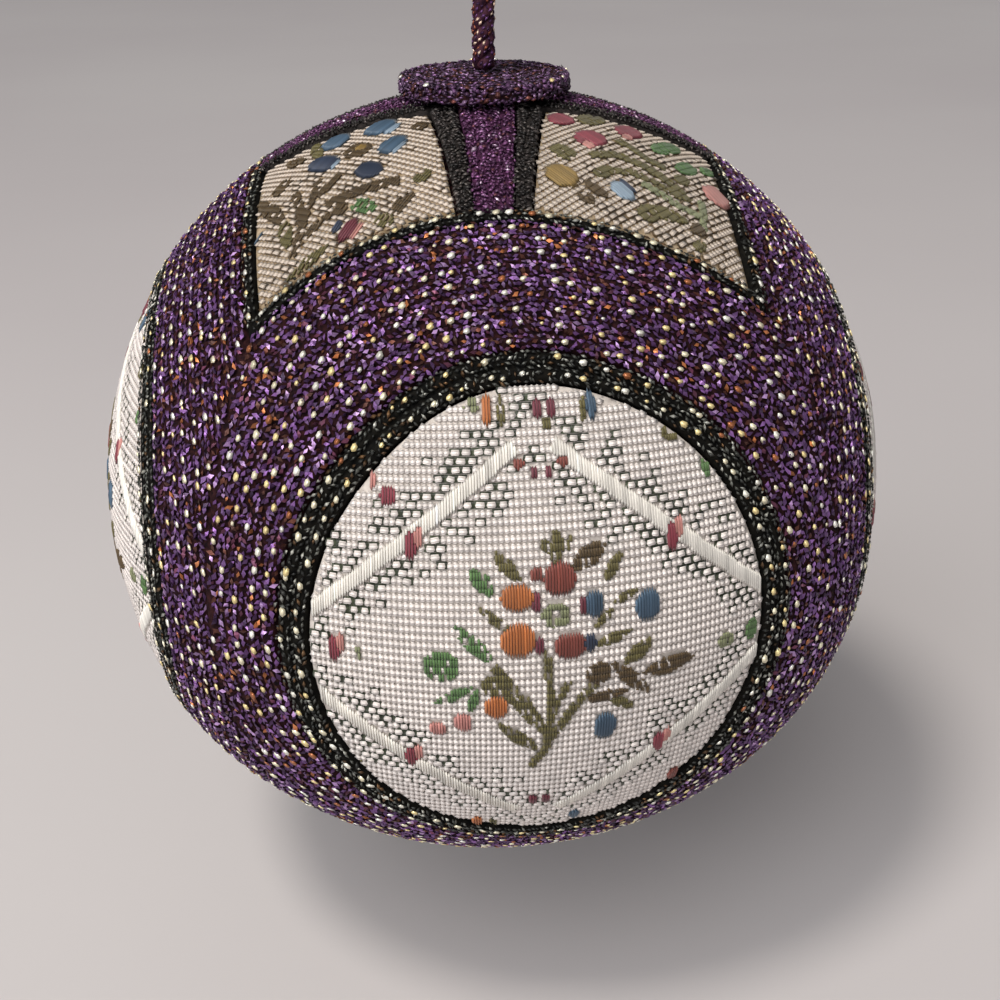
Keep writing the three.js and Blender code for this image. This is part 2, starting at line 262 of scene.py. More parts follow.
# %% [markdown]
# ## Putting pieces in place
#
# Pieces of the ball are modelled around its centre and then settled. Settling first lays them as the maker's
# hand did: the roundels come out as ovals, a little taller than wide, and the parts above and below them are
# turned a little about the upright axis. Then the underside, pressed flat when the rows were glued, moves up.
# Doing this last keeps each piece simple and regular until the end. The brocade is woven straight on the
# finished ball, so its weaving needs the way back: which place of the regular pattern a place on the finished
# ball came from.

# %% The shape of the finished ball
WAY_BACK_STEPS = 5


def on_globe(points):
    """Distance from the ball's centre, latitude and longitude."""
    radius = np.maximum(np.linalg.norm(points, axis=1), MM)
    return radius, np.arcsin(points[:, 2] / radius), np.arctan2(points[:, 1], points[:, 0])


def from_globe(radius, latitude, longitude):
    level = radius * np.cos(latitude)
    return np.stack([level * np.cos(longitude), level * np.sin(longitude), radius * np.sin(latitude)], axis=1)


def hand_shift(latitude, longitude):
    """How far a place of the regular pattern moves north and west under the maker's hand."""
    inside = np.abs(latitude) < OVAL_LATITUDE
    rise = np.where(inside, OVAL_RISE * np.sin(math.pi * latitude / OVAL_LATITUDE), 0.0)
    narrowing = OVAL_NARROWING * np.sin(ROUNDELS * longitude) * np.cos(latitude) ** 2
    share = np.clip((np.abs(latitude) - TURN_BEGINS) / (TURN_ENDS - TURN_BEGINS), 0.0, 1.0)
    return rise, narrowing + np.sign(latitude) * TURN * share * share * (3 - 2 * share)


def laid(points):
    radius, latitude, longitude = on_globe(points)
    north, west = hand_shift(latitude, longitude)
    return from_globe(radius, latitude + north, longitude - west)


def regular(points):
    """The way back from the finished ball to the regular pattern, by a few steps of correction."""
    radius, latitude, longitude = on_globe(points)
    from_latitude, from_longitude = latitude, longitude
    for step in range(WAY_BACK_STEPS):
        north, west = hand_shift(from_latitude, from_longitude)
        from_latitude, from_longitude = latitude - north, longitude + west
    return from_globe(radius, from_latitude, from_longitude)


def carry(points):
    """Presses the underside up and carries points from the ball's centre to its place."""
    lengths = np.linalg.norm(points, axis=1)
    depth = -points[:, 2] / np.maximum(lengths, MM)
    share = np.clip((depth - BASE_BEGINS) / (BASE_ENDS - BASE_BEGINS), 0.0, 1.0)
    carried = points + np.array(BALL_CENTRE)
    carried[:, 2] += BASE_LIFT * share * share * (3 - 2 * share)
    return carried


def settle(points):
    return carry(laid(points))


# %% Finishing a piece
def add_piece(name, mesh, material, nodes=()):
    piece = bpy.data.objects.new(name, mesh)
    bpy.context.scene.collection.objects.link(piece)
    mesh.materials.append(material)
    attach(piece, "root")
    if nodes:
        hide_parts(*nodes)
    return piece


def settled_piece(name, shape, material, nodes, turn, smooth=True):
    """Makes a finished piece of a bmesh built around the ball's centre, turned to its own side."""
    bmesh.ops.rotate(shape, verts=shape.verts[:], matrix=turn)
    bmesh.ops.recalc_face_normals(shape, faces=shape.faces[:])
    places = settle(np.array([vertex.co for vertex in shape.verts]))
    for vertex, place in zip(shape.verts, places):
        vertex.co = place
    for face in shape.faces:
        face.smooth = smooth
    mesh = bpy.data.meshes.new(name)
    shape.to_mesh(mesh)
    shape.free()
    return add_piece(name, mesh, material, nodes)


def quarter_turn(quarter):
    return Matrix.Rotation(quarter * QUARTER_TURN, 3, "Z")


def half_turn(half):
    """The lower half is the upper one turned over about the Y axis."""
    return Matrix.Rotation(HALF_TURN if half == "lower" else 0.0, 3, "Y")


# %% [markdown]
# ## Grains
#
# A stitch of braid or a float of brocade is a tiny bead of thread. Thousands of them are needed, so a sphere
# of very few faces serves as a template and numpy copies it to every place, with its own length, width,
# height, direction and tint. Three sides are enough, because only the two on top are ever seen. The copies
# are joined into one mesh, which Blender draws far faster than thousands of objects. Each grain gets a cell
# of the UV map, so that a bake keeps its colour.

# %% The templates
GRAIN_SIDES = 3
DASH_RINGS = 2
FLOAT_RINGS = 3
UNDERSIDE = -0.1
CELL_REACH = 0.45
CELL_MIDDLE = 0.5


def grain_template(rings):
    """A bead along X with an edge on top. Two rings make a pointed bead, three a blunt one."""
    shape = bmesh.new()
    bmesh.ops.create_uvsphere(shape, u_segments=GRAIN_SIDES, v_segments=rings, radius=1.0)
    bmesh.ops.rotate(shape, verts=shape.verts[:], matrix=Matrix.Rotation(-QUARTER_TURN, 3, "Y"))
    bmesh.ops.triangulate(shape, faces=shape.faces[:])
    bmesh.ops.recalc_face_normals(shape, faces=shape.faces[:])
    corners = np.array([vertex.co for vertex in shape.verts])
    triangles = np.array([[vertex.index for vertex in face.verts] for face in shape.faces])
    shape.free()
    return corners, triangles


DASH = grain_template(DASH_RINGS)
FLOAT = grain_template(FLOAT_RINGS)
print("a dash has", len(DASH[1]), "triangles, a float", len(FLOAT[1]))


# %% Lists of grains
def unit(vectors):
    return vectors / np.linalg.norm(vectors, axis=-1, keepdims=True)


def grains(places, along, up, half_length, half_width, half_height, tints, core=0.0):
    """A batch of grains. Core is half the straight stretch between a grain's two rounded ends."""
    count = len(places)
    return {
        "places": np.asarray(places, float),
        "along": np.asarray(along, float),
        "up": np.asarray(up, float),
        "half_length": np.broadcast_to(half_length, count).astype(float),
        "half_width": np.broadcast_to(half_width, count).astype(float),
        "half_height": np.broadcast_to(half_height, count).astype(float),
        "core": np.broadcast_to(core, count).astype(float),
        "tints": np.broadcast_to(tints, (count, 3)).astype(float),
    }


def gathered(batches):
    return {key: np.concatenate([batch[key] for batch in batches]) for key in batches[0]}


def chosen(batch, kept):
    return {key: values[kept] for key, values in batch.items()}


def turned_batch(batch, matrix):
    turn = np.array(matrix)
    result = dict(batch)
    for key in ("places", "along", "up"):
        result[key] = batch[key] @ turn.T
    return result


# %% Sowing grains into one mesh
def template_uv(template):
    """The template seen from above in the left half of a unit cell, and from below in the right half."""
    corners, triangles = template
    flat = corners[triangles][:, :, :2] * CELL_REACH + CELL_MIDDLE
    below = corners[triangles][:, :, 2].mean(axis=1) < UNDERSIDE
    cells = flat * np.array([CELL_MIDDLE, 1.0])
    cells[below, :, 0] += CELL_MIDDLE
    return flat.reshape(-1, 2), cells.reshape(-1, 2)


def sow(name, batch, material, template, place=settle, smooth=True):
    """Copies the template to every grain of a batch and joins the copies into one piece."""
    grain_corners, grain_triangles = template
    thread_uv, cell_uv = template_uv(template)
    count = len(batch["places"])
    up = unit(batch["up"])
    along = unit(batch["along"] - up * np.sum(batch["along"] * up, axis=1, keepdims=True))
    across = np.cross(up, along)
    ends = np.sign(np.round(grain_corners[:, 0], 3))
    reach = grain_corners[:, 0] * batch["half_length"][:, None] + ends * batch["core"][:, None]
    breadth = grain_corners[:, 1] * batch["half_width"][:, None]
    height = grain_corners[:, 2] * batch["half_height"][:, None]
    corners = batch["places"][:, None, :] + reach[:, :, None] * along[:, None, :]
    corners = corners + breadth[:, :, None] * across[:, None, :] + height[:, :, None] * up[:, None, :]
    corners = place(corners.reshape(-1, 3))
    triangles = grain_triangles[None] + (np.arange(count) * len(grain_corners))[:, None, None]
    mesh = bpy.data.meshes.new(name)
    mesh.vertices.add(len(corners))
    mesh.vertices.foreach_set("co", corners.astype(np.float32).ravel())
    mesh.loops.add(triangles.size)
    mesh.loops.foreach_set("vertex_index", triangles.astype(np.int32).ravel())
    faces = triangles.size // 3
    mesh.polygons.add(faces)
    mesh.polygons.foreach_set("loop_start", np.arange(0, triangles.size, 3, dtype=np.int32))
    mesh.polygons.foreach_set("use_smooth", np.full(faces, smooth))
    side = math.ceil(math.sqrt(count))
    cells = np.stack([np.arange(count) % side, np.arange(count) // side], axis=1)
    bake = (cells[:, None, :] + cell_uv[None]) / side
    mesh.uv_layers.new(name="OFBake").data.foreach_set("uv", bake.astype(np.float32).ravel())
    thread = np.tile(thread_uv, (count, 1))
    mesh.uv_layers.new(name="thread").data.foreach_set("uv", thread.astype(np.float32).ravel())
    tints = np.concatenate([batch["tints"], np.ones((count, 1))], axis=1)
    tints = np.repeat(tints, len(grain_corners), axis=0)
    layer = mesh.attributes.new("tint", "FLOAT_COLOR", "POINT")
    layer.data.foreach_set("color", tints.astype(np.float32).ravel())
    mesh.update(calc_edges=True)
    piece = add_piece(name, mesh, material)
    print(name, count, "grains", faces, "triangles")
    return piece


# %% [markdown]
# ## The cord
#
# The ball hangs by a cord twisted from three plies of the same metallic yarn. It rises straight out of the
# cap, runs up through a whipped knot, and turns back in a loop. A single tube with a bump would show a
# smooth outline, so each ply is its own tube on a helix around the route, which repeats the route of the
# solid. A curve with automatic handles makes the route smooth, and its mesh gives the points.

# %% The route
PLY_COUNT = 3
PLY_RADIUS = 0.6 * MM
PLY_HELIX = 0.53 * MM
PLY_PITCH = 4.5 * MM
ROUTE_STEP = 0.4 * MM
ROUTE_RESOLUTION = 10
CORD_ROUTE = (
    (0.0, 0.3), (0.0, 3.5), (0.0, 6.8), (-0.5, 8.6), (-1.2, 10.1), (-1.3, 12.0), (-1.3, 14.6),
    (-2.3, 17.0), (-4.3, 20.4), (-5.2, 24.0), (-3.7, 27.6), (0.0, 29.2), (3.7, 27.6), (5.2, 24.0),
    (4.3, 20.4), (2.3, 17.0), (1.3, 14.6), (1.3, 12.0), (1.35, 10.4), (1.6, 9.2),
)


def route_points():
    data = bpy.data.curves.new("cord_route", "CURVE")
    data.dimensions = "3D"
    data.resolution_u = ROUTE_RESOLUTION
    spline = data.splines.new("BEZIER")
    spline.bezier_points.add(len(CORD_ROUTE) - 1)
    for point, (x, z) in zip(spline.bezier_points, CORD_ROUTE):
        point.co = (x * MM, 0.0, cap_face + z * MM)
        point.handle_left_type = "AUTO"
        point.handle_right_type = "AUTO"
    guide = bpy.data.objects.new("cord_route", data)
    bpy.context.scene.collection.objects.link(guide)
    line = guide.to_mesh()
    raw = np.array([vertex.co for vertex in line.vertices])
    guide.to_mesh_clear()
    bpy.data.objects.remove(guide)
    bpy.data.curves.remove(data)
    return evenly(raw, ROUTE_STEP)


def evenly(points, step, closed=False):
    """The same line with its points a set step apart."""
    if closed:
        points = np.concatenate([points, points[:1]])
    run = np.concatenate([[0.0], np.cumsum(np.linalg.norm(np.diff(points, axis=0), axis=1))])
    count = max(2, int(round(run[-1] / step)) + (0 if closed else 1))
    stations = np.linspace(0.0, run[-1], count, endpoint=not closed)
    return np.stack([np.interp(stations, run, points[:, axis]) for axis in range(3)], axis=1)


route = route_points()


# %% The plies
TUBE_RESOLUTION = 1
TUBE_WELD = 1 / 50


def helix_about(points, radius, pitch, phase):
    """Points on a helix around a line that lies in the X-Z plane, and the directions out from the line."""
    tangents = unit(np.gradient(points, axis=0))
    sideways = np.array([0.0, 1.0, 0.0])
    over = np.cross(sideways, tangents)
    run = np.concatenate([[0.0], np.cumsum(np.linalg.norm(np.diff(points, axis=0), axis=1))])
    turn = FULL_TURN * run / pitch + phase
    out = np.cos(turn)[:, None] * over + np.sin(turn)[:, None] * sideways
    return points + radius * out, out


def tubes(name, lines, radius):
    """One mesh of round tubes with closed ends, one along each line."""
    data = bpy.data.curves.new(name, "CURVE")
    data.dimensions = "3D"
    data.bevel_depth = radius
    data.bevel_resolution = TUBE_RESOLUTION
    data.use_fill_caps = True
    for line in lines:
        spline = data.splines.new("POLY")
        spline.points.add(len(line) - 1)
        spline.points.foreach_set("co", np.concatenate([line, np.ones((len(line), 1))], axis=1).ravel())
    guide = bpy.data.objects.new(name + "_guide", data)
    bpy.context.scene.collection.objects.link(guide)
    bpy.context.view_layer.update()
    mesh = bpy.data.meshes.new_from_object(guide)
    bpy.data.objects.remove(guide)
    bpy.data.curves.remove(data)
    mesh.name = name
    mesh.materials.clear()
    shape = bmesh.new()
    shape.from_mesh(mesh)
    bmesh.ops.remove_doubles(shape, verts=shape.verts[:], dist=radius * TUBE_WELD)
    bmesh.ops.recalc_face_normals(shape, faces=shape.faces[:])
    for face in shape.faces:
        face.smooth = True
    shape.to_mesh(mesh)
    shape.free()
    return mesh


ply_phases = [FULL_TURN * ply / PLY_COUNT for ply in range(PLY_COUNT)]
plies = [helix_about(route, PLY_HELIX, PLY_PITCH, phase) for phase in ply_phases]
cord_mesh = tubes("cord", [line for line, out in plies], PLY_RADIUS)
cord = add_piece("cord", cord_mesh, cord_ground, ["hang_cord"])

# %% [markdown]
# The yarn of each ply is bound with foil, which shows in short dashes of purple, copper and pale gold. The
# pale gold is almost white, a painted highlight for the foil's glint, and grains along the outside of every
# ply give that glint from any side.

# %% The dashes on the cord
chance = np.random.default_rng(7)
# The last tint, a pale gold near white, is a painted highlight on the foil.
CORD_AND_HIGHLIGHT_TINTS = np.array([linear(104, 66, 116), linear(146, 82, 60), linear(62, 34, 68), linear(244, 214, 190)])
CORD_TINT_SHARES = (0.3, 0.24, 0.28, 0.18)
CORD_SIDES = (-0.9, 0.0, 0.9)
CORD_DASH_LENGTH = 0.3 * MM
CORD_DASH_WIDTH = 0.17 * MM
CORD_DASH_HEIGHT = 0.1 * MM
CORD_DASH_SINK = 0.04 * MM
CORD_DASH_LEAN = 0.5


def cord_dashes():
    batches = []
    for line, out in plies:
        stations = np.arange(1, len(line) - 1)
        ahead = unit(line[stations + 1] - line[stations - 1])
        for side in CORD_SIDES:
            tilt = unit(out[stations] + side * np.cross(ahead, out[stations]))
            lean = ahead + chance.normal(0.0, CORD_DASH_LEAN, (len(stations), 1)) * np.cross(tilt, ahead)
            picked = chance.choice(len(CORD_AND_HIGHLIGHT_TINTS), len(stations), p=CORD_TINT_SHARES)
            shift = chance.uniform(-0.5, 0.5, (len(stations), 1)) * ROUTE_STEP * ahead
            batches.append(grains(
                line[stations] + tilt * (PLY_RADIUS - CORD_DASH_SINK) + shift, lean, tilt,
                CORD_DASH_LENGTH, CORD_DASH_WIDTH, CORD_DASH_HEIGHT, CORD_AND_HIGHLIGHT_TINTS[picked],
            ))
    return gathered(batches)


def stay(points):
    return points


cord_glints = sow("cord_glints", cord_dashes(), purple_yarn, DASH, place=stay)

# %% The whipped knot
KNOT_BOTTOM = 10.6 * MM
KNOT_TOP = 14.4 * MM
STRAND_OFFSET = 1.3 * MM
WHIP_RADIUS = 0.48 * MM
WHIP_TURNS = 4
WHIP_OUT = 1.95 * MM
WHIP_STEPS = 36
WHIP_SWING = 2.5


def whipping_line():
    """A thread wound around the two strands, side by side, from the bottom of the knot to its top."""
    turn = np.linspace(0.0, FULL_TURN * WHIP_TURNS, WHIP_TURNS * WHIP_STEPS)
    side = np.clip(np.cos(turn) * WHIP_SWING, -1.0, 1.0) * STRAND_OFFSET
    rise = np.linspace(KNOT_BOTTOM + WHIP_RADIUS, KNOT_TOP - WHIP_RADIUS, len(turn))
    return np.stack([side + WHIP_OUT * np.cos(turn), WHIP_OUT * np.sin(turn), cap_face + rise], axis=1)


knot_mesh = tubes("knot", [whipping_line()], WHIP_RADIUS)
knot = add_piece("knot", knot_mesh, cord_ground, ["cord_knot"])
print("knot of", WHIP_TURNS, "turns")

# %% [markdown]
# ## The wound ball
#
# Under the stitches lies the body of the ball with its purple bands. Each band is nine rows of round braid
# around a roundel, so one quarter of the ball is a section spun about the roundel's axis and cut at the two
# seams where it meets its neighbours. Four quarters welded together make the ball.

# %% Sections of braid
ROW_CREST = BALL_RADIUS - 0.3 * MM
ROW_VALLEY = BALL_RADIUS - 0.75 * MM
ROW_SHARES = (0.12, 0.3, 0.5, 0.7, 0.88)
SPIN_STEPS = 120
CORE_STEPS = 12
WELD = 0.001 * MM
SEAM_WELD = 0.002 * MM
CUT_TOLERANCE = 0.0001 * MM


def polar(radius, angle):
    """A point of a section, in the plane of the front roundel's axis, which points to -Y."""
    return Vector((radius * math.sin(angle), -radius * math.cos(angle), 0.0))


def row_section(start, end, rows):
    """The rounded crests of rows of braid that lie side by side between two angles."""
    points = [polar(ROW_VALLEY, start)]
    step = (end - start) / rows
    for row in range(rows):
        for share in ROW_SHARES:
            bulge = 1.0 - (2.0 * share - 1.0) ** 2
            points.append(polar(ROW_VALLEY + (ROW_CREST - ROW_VALLEY) * bulge, start + step * (row + share)))
        points.append(polar(ROW_VALLEY, start + step * (row + 1)))
    return points


def arc_section(radius, start, end, steps):
    return [polar(radius, start + (end - start) * step / steps) for step in range(steps + 1)]


def spun(section, closed=False, axis=(0, 1, 0), steps=SPIN_STEPS):
    """A section turned all the way about an axis, which is the front roundel's own unless given."""
    shape = bmesh.new()
    corners = [shape.verts.new(point) for point in section]
    edges = [shape.edges.new(pair) for pair in zip(corners, corners[1:])]
    if closed:
        edges.append(shape.edges.new((corners[-1], corners[0])))
    bmesh.ops.spin(
        shape, geom=corners + edges, cent=(0, 0, 0), axis=axis, angle=FULL_TURN,
        steps=steps, use_merge=True, use_duplicate=False,
    )
    bmesh.ops.remove_doubles(shape, verts=shape.verts[:], dist=WELD)
    return shape


def cut(shape, point, normal):
    """Removes what lies on the side of a plane that its normal points to."""
    geometry = shape.verts[:] + shape.edges[:] + shape.faces[:]
    bmesh.ops.bisect_plane(
        shape, geom=geometry, dist=CUT_TOLERANCE, plane_co=point, plane_no=normal, clear_outer=True,
    )


def close_cuts(shape):
    rims = [edge for edge in shape.edges if edge.is_boundary]
    bmesh.ops.holes_fill(shape, edges=rims, sides=0)


SEAM_NORMALS = (Vector((1.0, 1.0, 0.0)), Vector((-1.0, 1.0, 0.0)))


# %% The body of the ball
PAST_THE_POLE = QUARTER_TURN + BRAID_WIDTH / BALL_RADIUS


def wound_ball():
    section = arc_section(CORE_RADIUS, 0.0, RING_EDGE + EDGE_GAP, CORE_STEPS)
    section += row_section(RING_EDGE + EDGE_GAP, BAND_EDGE - EDGE_GAP, BAND_ROWS)
    section += arc_section(CORE_RADIUS, BAND_EDGE - EDGE_GAP, PAST_THE_POLE, CORE_STEPS)
    quarter = spun(section)
    for normal in SEAM_NORMALS:
        cut(quarter, Vector((0, 0, 0)), normal)
    mesh = bpy.data.meshes.new("quarter")
    quarter.to_mesh(mesh)
    quarter.free()
    whole = bmesh.new()
    for turns in QUARTERS:
        before = len(whole.verts)
        whole.from_mesh(mesh)
        whole.verts.ensure_lookup_table()
        bmesh.ops.rotate(whole, verts=whole.verts[before:], matrix=quarter_turn(turns))
    bpy.data.meshes.remove(mesh)
    bmesh.ops.remove_doubles(whole, verts=whole.verts[:], dist=SEAM_WELD)
    return whole


ball_shape = wound_ball()
print("wound ball:", len(ball_shape.faces), "faces, open edges", sum(e.is_boundary for e in ball_shape.edges))
settled_piece("wound_braid", ball_shape, purple_ground, ["wound_ball"], quarter_turn(0))

# %% [markdown]
# ## Dark rings and outer rows
#
# Two rows of dark braid frame each roundel, and one more dark row finishes the outer edge of every band. They
# are the same rounded section spun on its own. The outer row is then cut at the seams, where it mitres with
# the rows of the next band, and at the middle, because the maker uses one length above and one below.

# %% Dark grounds
def dark_ring_shape():
    section = row_section(ROUNDEL_EDGE + EDGE_GAP, RING_EDGE - EDGE_GAP, RING_ROWS)
    section += arc_section(GLUE_RADIUS, RING_EDGE - EDGE_GAP, ROUNDEL_EDGE + EDGE_GAP, 2)
    return spun(section, closed=True)


def outer_row_shape():
    section = row_section(BAND_EDGE + EDGE_GAP, OUTER_EDGE - EDGE_GAP, 1)
    section += arc_section(GLUE_RADIUS, OUTER_EDGE - EDGE_GAP, BAND_EDGE + EDGE_GAP, 1)
    shape = spun(section, closed=True)
    for normal in SEAM_NORMALS:
        cut(shape, -normal * GAP / 4, normal)
    cut(shape, Vector((0, 0, 0)), Vector((0, 0, -1)))
    close_cuts(shape)
    return shape


for quarter in QUARTERS:
    name = f"dark_ring_{quarter + 1}"
    turn = quarter_turn(quarter)
    settled_piece(f"{name}_ground", dark_ring_shape(), dark_ground, [name], turn)
    for half in HALVES:
        name = f"{half}_outer_row_{quarter + 1}"
        turn = half_turn(half) @ quarter_turn(quarter)
        settled_piece(f"{name}_ground", outer_row_shape(), dark_ground, [name], turn)
print("dark rings and outer rows laid")

# %% [markdown]
# ## Patches of the ball
#
# Strips, their edges, the roundels and the panels are all patches of a sphere with edges where planes cut it.
# A circle around a roundel is flat, the side of a strip is an upright plane, and the rim of the cap is level.
# So a patch is an icosphere cut by a few planes, and then thickened towards the centre.

# %% Cutting a patch
PATCH_SUBDIVISIONS = 6
FRONT = Vector((0.0, -1.0, 0.0))
RIGHT = Vector((1.0, 0.0, 0.0))
UP = Vector((0.0, 0.0, 1.0))


def patch(radius, planes, inner_radius):
    """A piece of a sphere that lies behind every plane, as a closed shell down to an inner radius."""
    shape = bmesh.new()
    bmesh.ops.create_icosphere(shape, subdivisions=PATCH_SUBDIVISIONS, radius=radius)
    for point, normal in planes:
        cut(shape, point, normal)
    area = sum(face.calc_area() for face in shape.faces)
    below = bmesh.ops.extrude_face_region(shape, geom=shape.faces[:], use_keep_orig=True)
    moved = [item for item in below["geom"] if isinstance(item, bmesh.types.BMVert)]
    bmesh.ops.scale(shape, verts=moved, vec=Vector((1, 1, 1)) * (inner_radius / radius))
    return shape, area


def ring_plane(axis, radius, angle):
    """Keeps what lies further than an angle from a roundel's axis."""
    return axis * (radius * math.cos(angle)), axis


UNDER_CAP = 5.6 * MM


def cap_plane(radius):
    """The strips and panels run in under the cap, which hides their ends."""
    return UP * math.sqrt(radius ** 2 - UNDER_CAP ** 2), UP


def strip_half(distance):
    """Half the width of a strip at a distance from the ball's upright axis, with its dark edges."""
    foot = GLUE_RADIUS * math.cos(OUTER_EDGE)
    slope = (STRIP_HALF_TOP - STRIP_HALF_FOOT) / (foot - CAP_RADIUS)
    return STRIP_HALF_TOP - slope * (distance - CAP_RADIUS)


def strip_side(share, side, clearance):
    """The upright plane along one side of the front strip. Its normal points away from the strip's middle."""
    near = Vector((side * (share * strip_half(0.0) + clearance), 0.0, 0.0))
    far = Vector((side * (share * strip_half(BALL_RADIUS) + clearance), -BALL_RADIUS, 0.0))
    run = (far - near).normalized()
    return near, Vector((-run.y, run.x, 0.0)) * side


def facing_back(plane):
    return plane[0], -plane[1]


MIDDLE = Vector((0.0, 0.0, 0.0))
STRIP_RADIUS = BALL_RADIUS - 0.45 * MM


def above_band(radius):
    """The part of the front quarter between its band and the cap."""
    seams = [(MIDDLE, normal) for normal in SEAM_NORMALS]
    return [ring_plane(FRONT, radius, OUTER_EDGE + EDGE_GAP), cap_plane(radius), (MIDDLE, -UP)] + seams


# %% Strips and their dark edges
def strip_shape():
    sides = [strip_side(STRIP_PURPLE_SHARE, side, -GAP / 2) for side in (-1, 1)]
    return patch(STRIP_RADIUS, above_band(STRIP_RADIUS) + sides, GLUE_RADIUS)[0]


def strip_edge_shape(side):
    outside = strip_side(1.0, side, -GAP / 2)
    inside = facing_back(strip_side(STRIP_PURPLE_SHARE, side, GAP / 2))
    return patch(STRIP_RADIUS, above_band(STRIP_RADIUS) + [outside, inside], GLUE_RADIUS)[0]


for half in HALVES:
    for quarter in QUARTERS:
        number = quarter + 1
        turn = half_turn(half) @ quarter_turn(quarter)
        shapes = (
            (f"{half}_strip_{number}", strip_shape(), strip_ground, "purple_braid"),
            (f"{half}_strip_edge_left_{number}", strip_edge_shape(-1), edge_ground, "dark_braid"),
            (f"{half}_strip_edge_right_{number}", strip_edge_shape(1), edge_ground, "dark_braid"),
        )
        for name, shape, finish, slot in shapes:
            settled_piece(f"{name}_ground", shape, finish, [name], turn)
print("strips laid")

# %% [markdown]
# ## Caps
#
# A disc of coiled braid covers each pole, where all the strips end. A row for each coil makes its top, one
# row rounds the rim and two more wrap the side. The strips run in under it, so its ground is a disc on a
# short stem, spun about the upright axis.

# %% Cap grounds
CAP_ROW_RADII = tuple(radius * MM for radius in (0.75, 2.1, 3.45, 4.8, 6.15, 7.4))
CAP_SIDE_DROPS = tuple(drop * MM for drop in (0.9, 1.5))
CAP_SIDE_STEP = 0.62 * MM
CAP_FOOT = 1.75 * MM
CAP_STEM = 5.0 * MM
CAP_DIP = 0.3 * MM
CAP_SPIN_STEPS = 72


def cap_shape():
    side = CAP_RADIUS - CAP_DIP
    shoulder = CAP_RADIUS - 3 * CAP_DIP
    foot = CAP_TOP - CAP_FOOT
    top = CAP_TOP - CAP_DIP
    places = [(0.0, GLUE_RADIUS), (CAP_STEM, GLUE_RADIUS), (CAP_STEM, foot), (side, foot)]
    places += [(side, top - 2 * CAP_DIP), (shoulder, top), (0.0, top)]
    section = [Vector((radius, 0.0, height)) for radius, height in places]
    return spun(section, axis=(0, 0, 1), steps=CAP_SPIN_STEPS)


for half in HALVES:
    name = f"{half}_cap"
    turn = half_turn(half)
    settled_piece(f"{name}_ground", cap_shape(), purple_ground, [name], turn, smooth=False)
print("caps laid")

# %% [markdown]
# ## Rows of braid
#
# A row of this braid shows three lines of short slanted dashes, where its metallic yarn comes to the surface,
# with dark gaps between them and a gold stitch about every two millimetres. Each row is a line of points on
# the ball with the direction out of the surface. The dashes along it are uneven, as in a loose braid: each
# has its own lean, tilt, size and brightness, and that unevenness is what makes foil glitter.

# %% Kinds of braid
BRAID_LINES = 3
PURPLE = {
    "tints": np.array([
        linear(106, 72, 122), linear(156, 124, 168), linear(72, 44, 84), linear(88, 46, 66),
        linear(78, 42, 32), linear(170, 104, 62),
    ]),
    "shares": (0.4, 0.12, 0.26, 0.1, 0.09, 0.03),
    "pitch": 0.53 * MM, "half_length": 0.33 * MM, "half_width": 0.21 * MM,
    "lean": math.radians(26.0), "spread": 0.6, "wander": 0.09 * MM,
}
DARK = {
    "tints": np.array([linear(84, 85, 80), linear(44, 45, 43), linear(156, 156, 148), linear(92, 68, 44)]),
    "shares": (0.34, 0.36, 0.18, 0.12),
    "pitch": 0.52 * MM, "half_length": 0.3 * MM, "half_width": 0.16 * MM,
    "lean": math.radians(28.0), "spread": 0.5, "wander": 0.08 * MM,
}
# The palest strip tint, a whitish lilac on a few dashes, is a painted highlight for glints of the yarn.
STRIP = {
    "tints": np.array([
        linear(112, 70, 108), linear(90, 52, 86), linear(142, 102, 140), linear(98, 58, 66),
        linear(220, 190, 216),
    ]),
    "shares": (0.4, 0.34, 0.14, 0.09, 0.03),
    "pitch": 0.46 * MM, "half_length": 0.32 * MM, "half_width": 0.2 * MM,
    "lean": math.radians(55.0), "spread": 0.9, "wander": 0.12 * MM,
}
EDGE = {
    "tints": np.array([linear(66, 60, 58), linear(44, 41, 40), linear(92, 86, 82)]),
    "shares": (0.44, 0.44, 0.12),
    "pitch": 0.46 * MM, "half_length": 0.32 * MM, "half_width": 0.17 * MM,
    "lean": math.radians(80.0), "spread": 0.4, "wander": 0.12 * MM,
}
CAP = {
    "tints": np.array([
        linear(98, 68, 102), linear(64, 44, 66), linear(142, 112, 146), linear(102, 60, 56),
    ]),
    "shares": (0.38, 0.36, 0.14, 0.12),
    "pitch": 0.66 * MM, "half_length": 0.4 * MM, "half_width": 0.24 * MM,
    "lean": math.radians(30.0), "spread": 0.5, "wander": 0.08 * MM,
}
# Gold tints are pale, the palest almost white: the gold of the foil with a painted highlight for its glint.
GOLD_AND_HIGHLIGHT_TINTS = np.array([
    linear(255, 246, 214), linear(255, 232, 168), linear(255, 252, 238), linear(168, 104, 66),
])
GOLD_SHARES = (0.46, 0.26, 0.2, 0.08)

# %% Dashes and gold along a row
ROW_RADIUS = BALL_RADIUS - 0.16 * MM
ROW_DOME = 0.3 * MM
DASH_HEIGHT = 0.13 * MM
UNEVEN_TILT = 0.2
UNEVEN_SIZE = 0.18
UNEVEN_GLOW = 0.4
UNEVEN_SLIDE = 0.22
GLOW_LIMITS = (0.4, 2.2)
DASH_SIZE_LIMITS = (0.6, 1.4)
GOLD_SIZE_LIMITS = (0.6, 1.3)
GOLD_LENGTH = 0.34 * MM
GOLD_WIDTH = 0.3 * MM
GOLD_HEIGHT = 0.09 * MM
GOLD_LIFT = 0.08 * MM
GOLD_LEAN = 0.3
GOLD_TILT = 0.1
GOLD_WANDER = 0.07 * MM
GOLD_GLOW = 0.1
GOLD_KEPT = 0.8


def picked_tints(tints, shares, count, unevenness):
    glow = np.exp(chance.normal(0.0, unevenness, (count, 1)))
    return tints[chance.choice(len(tints), count, p=shares)] * np.clip(glow, *GLOW_LIMITS)


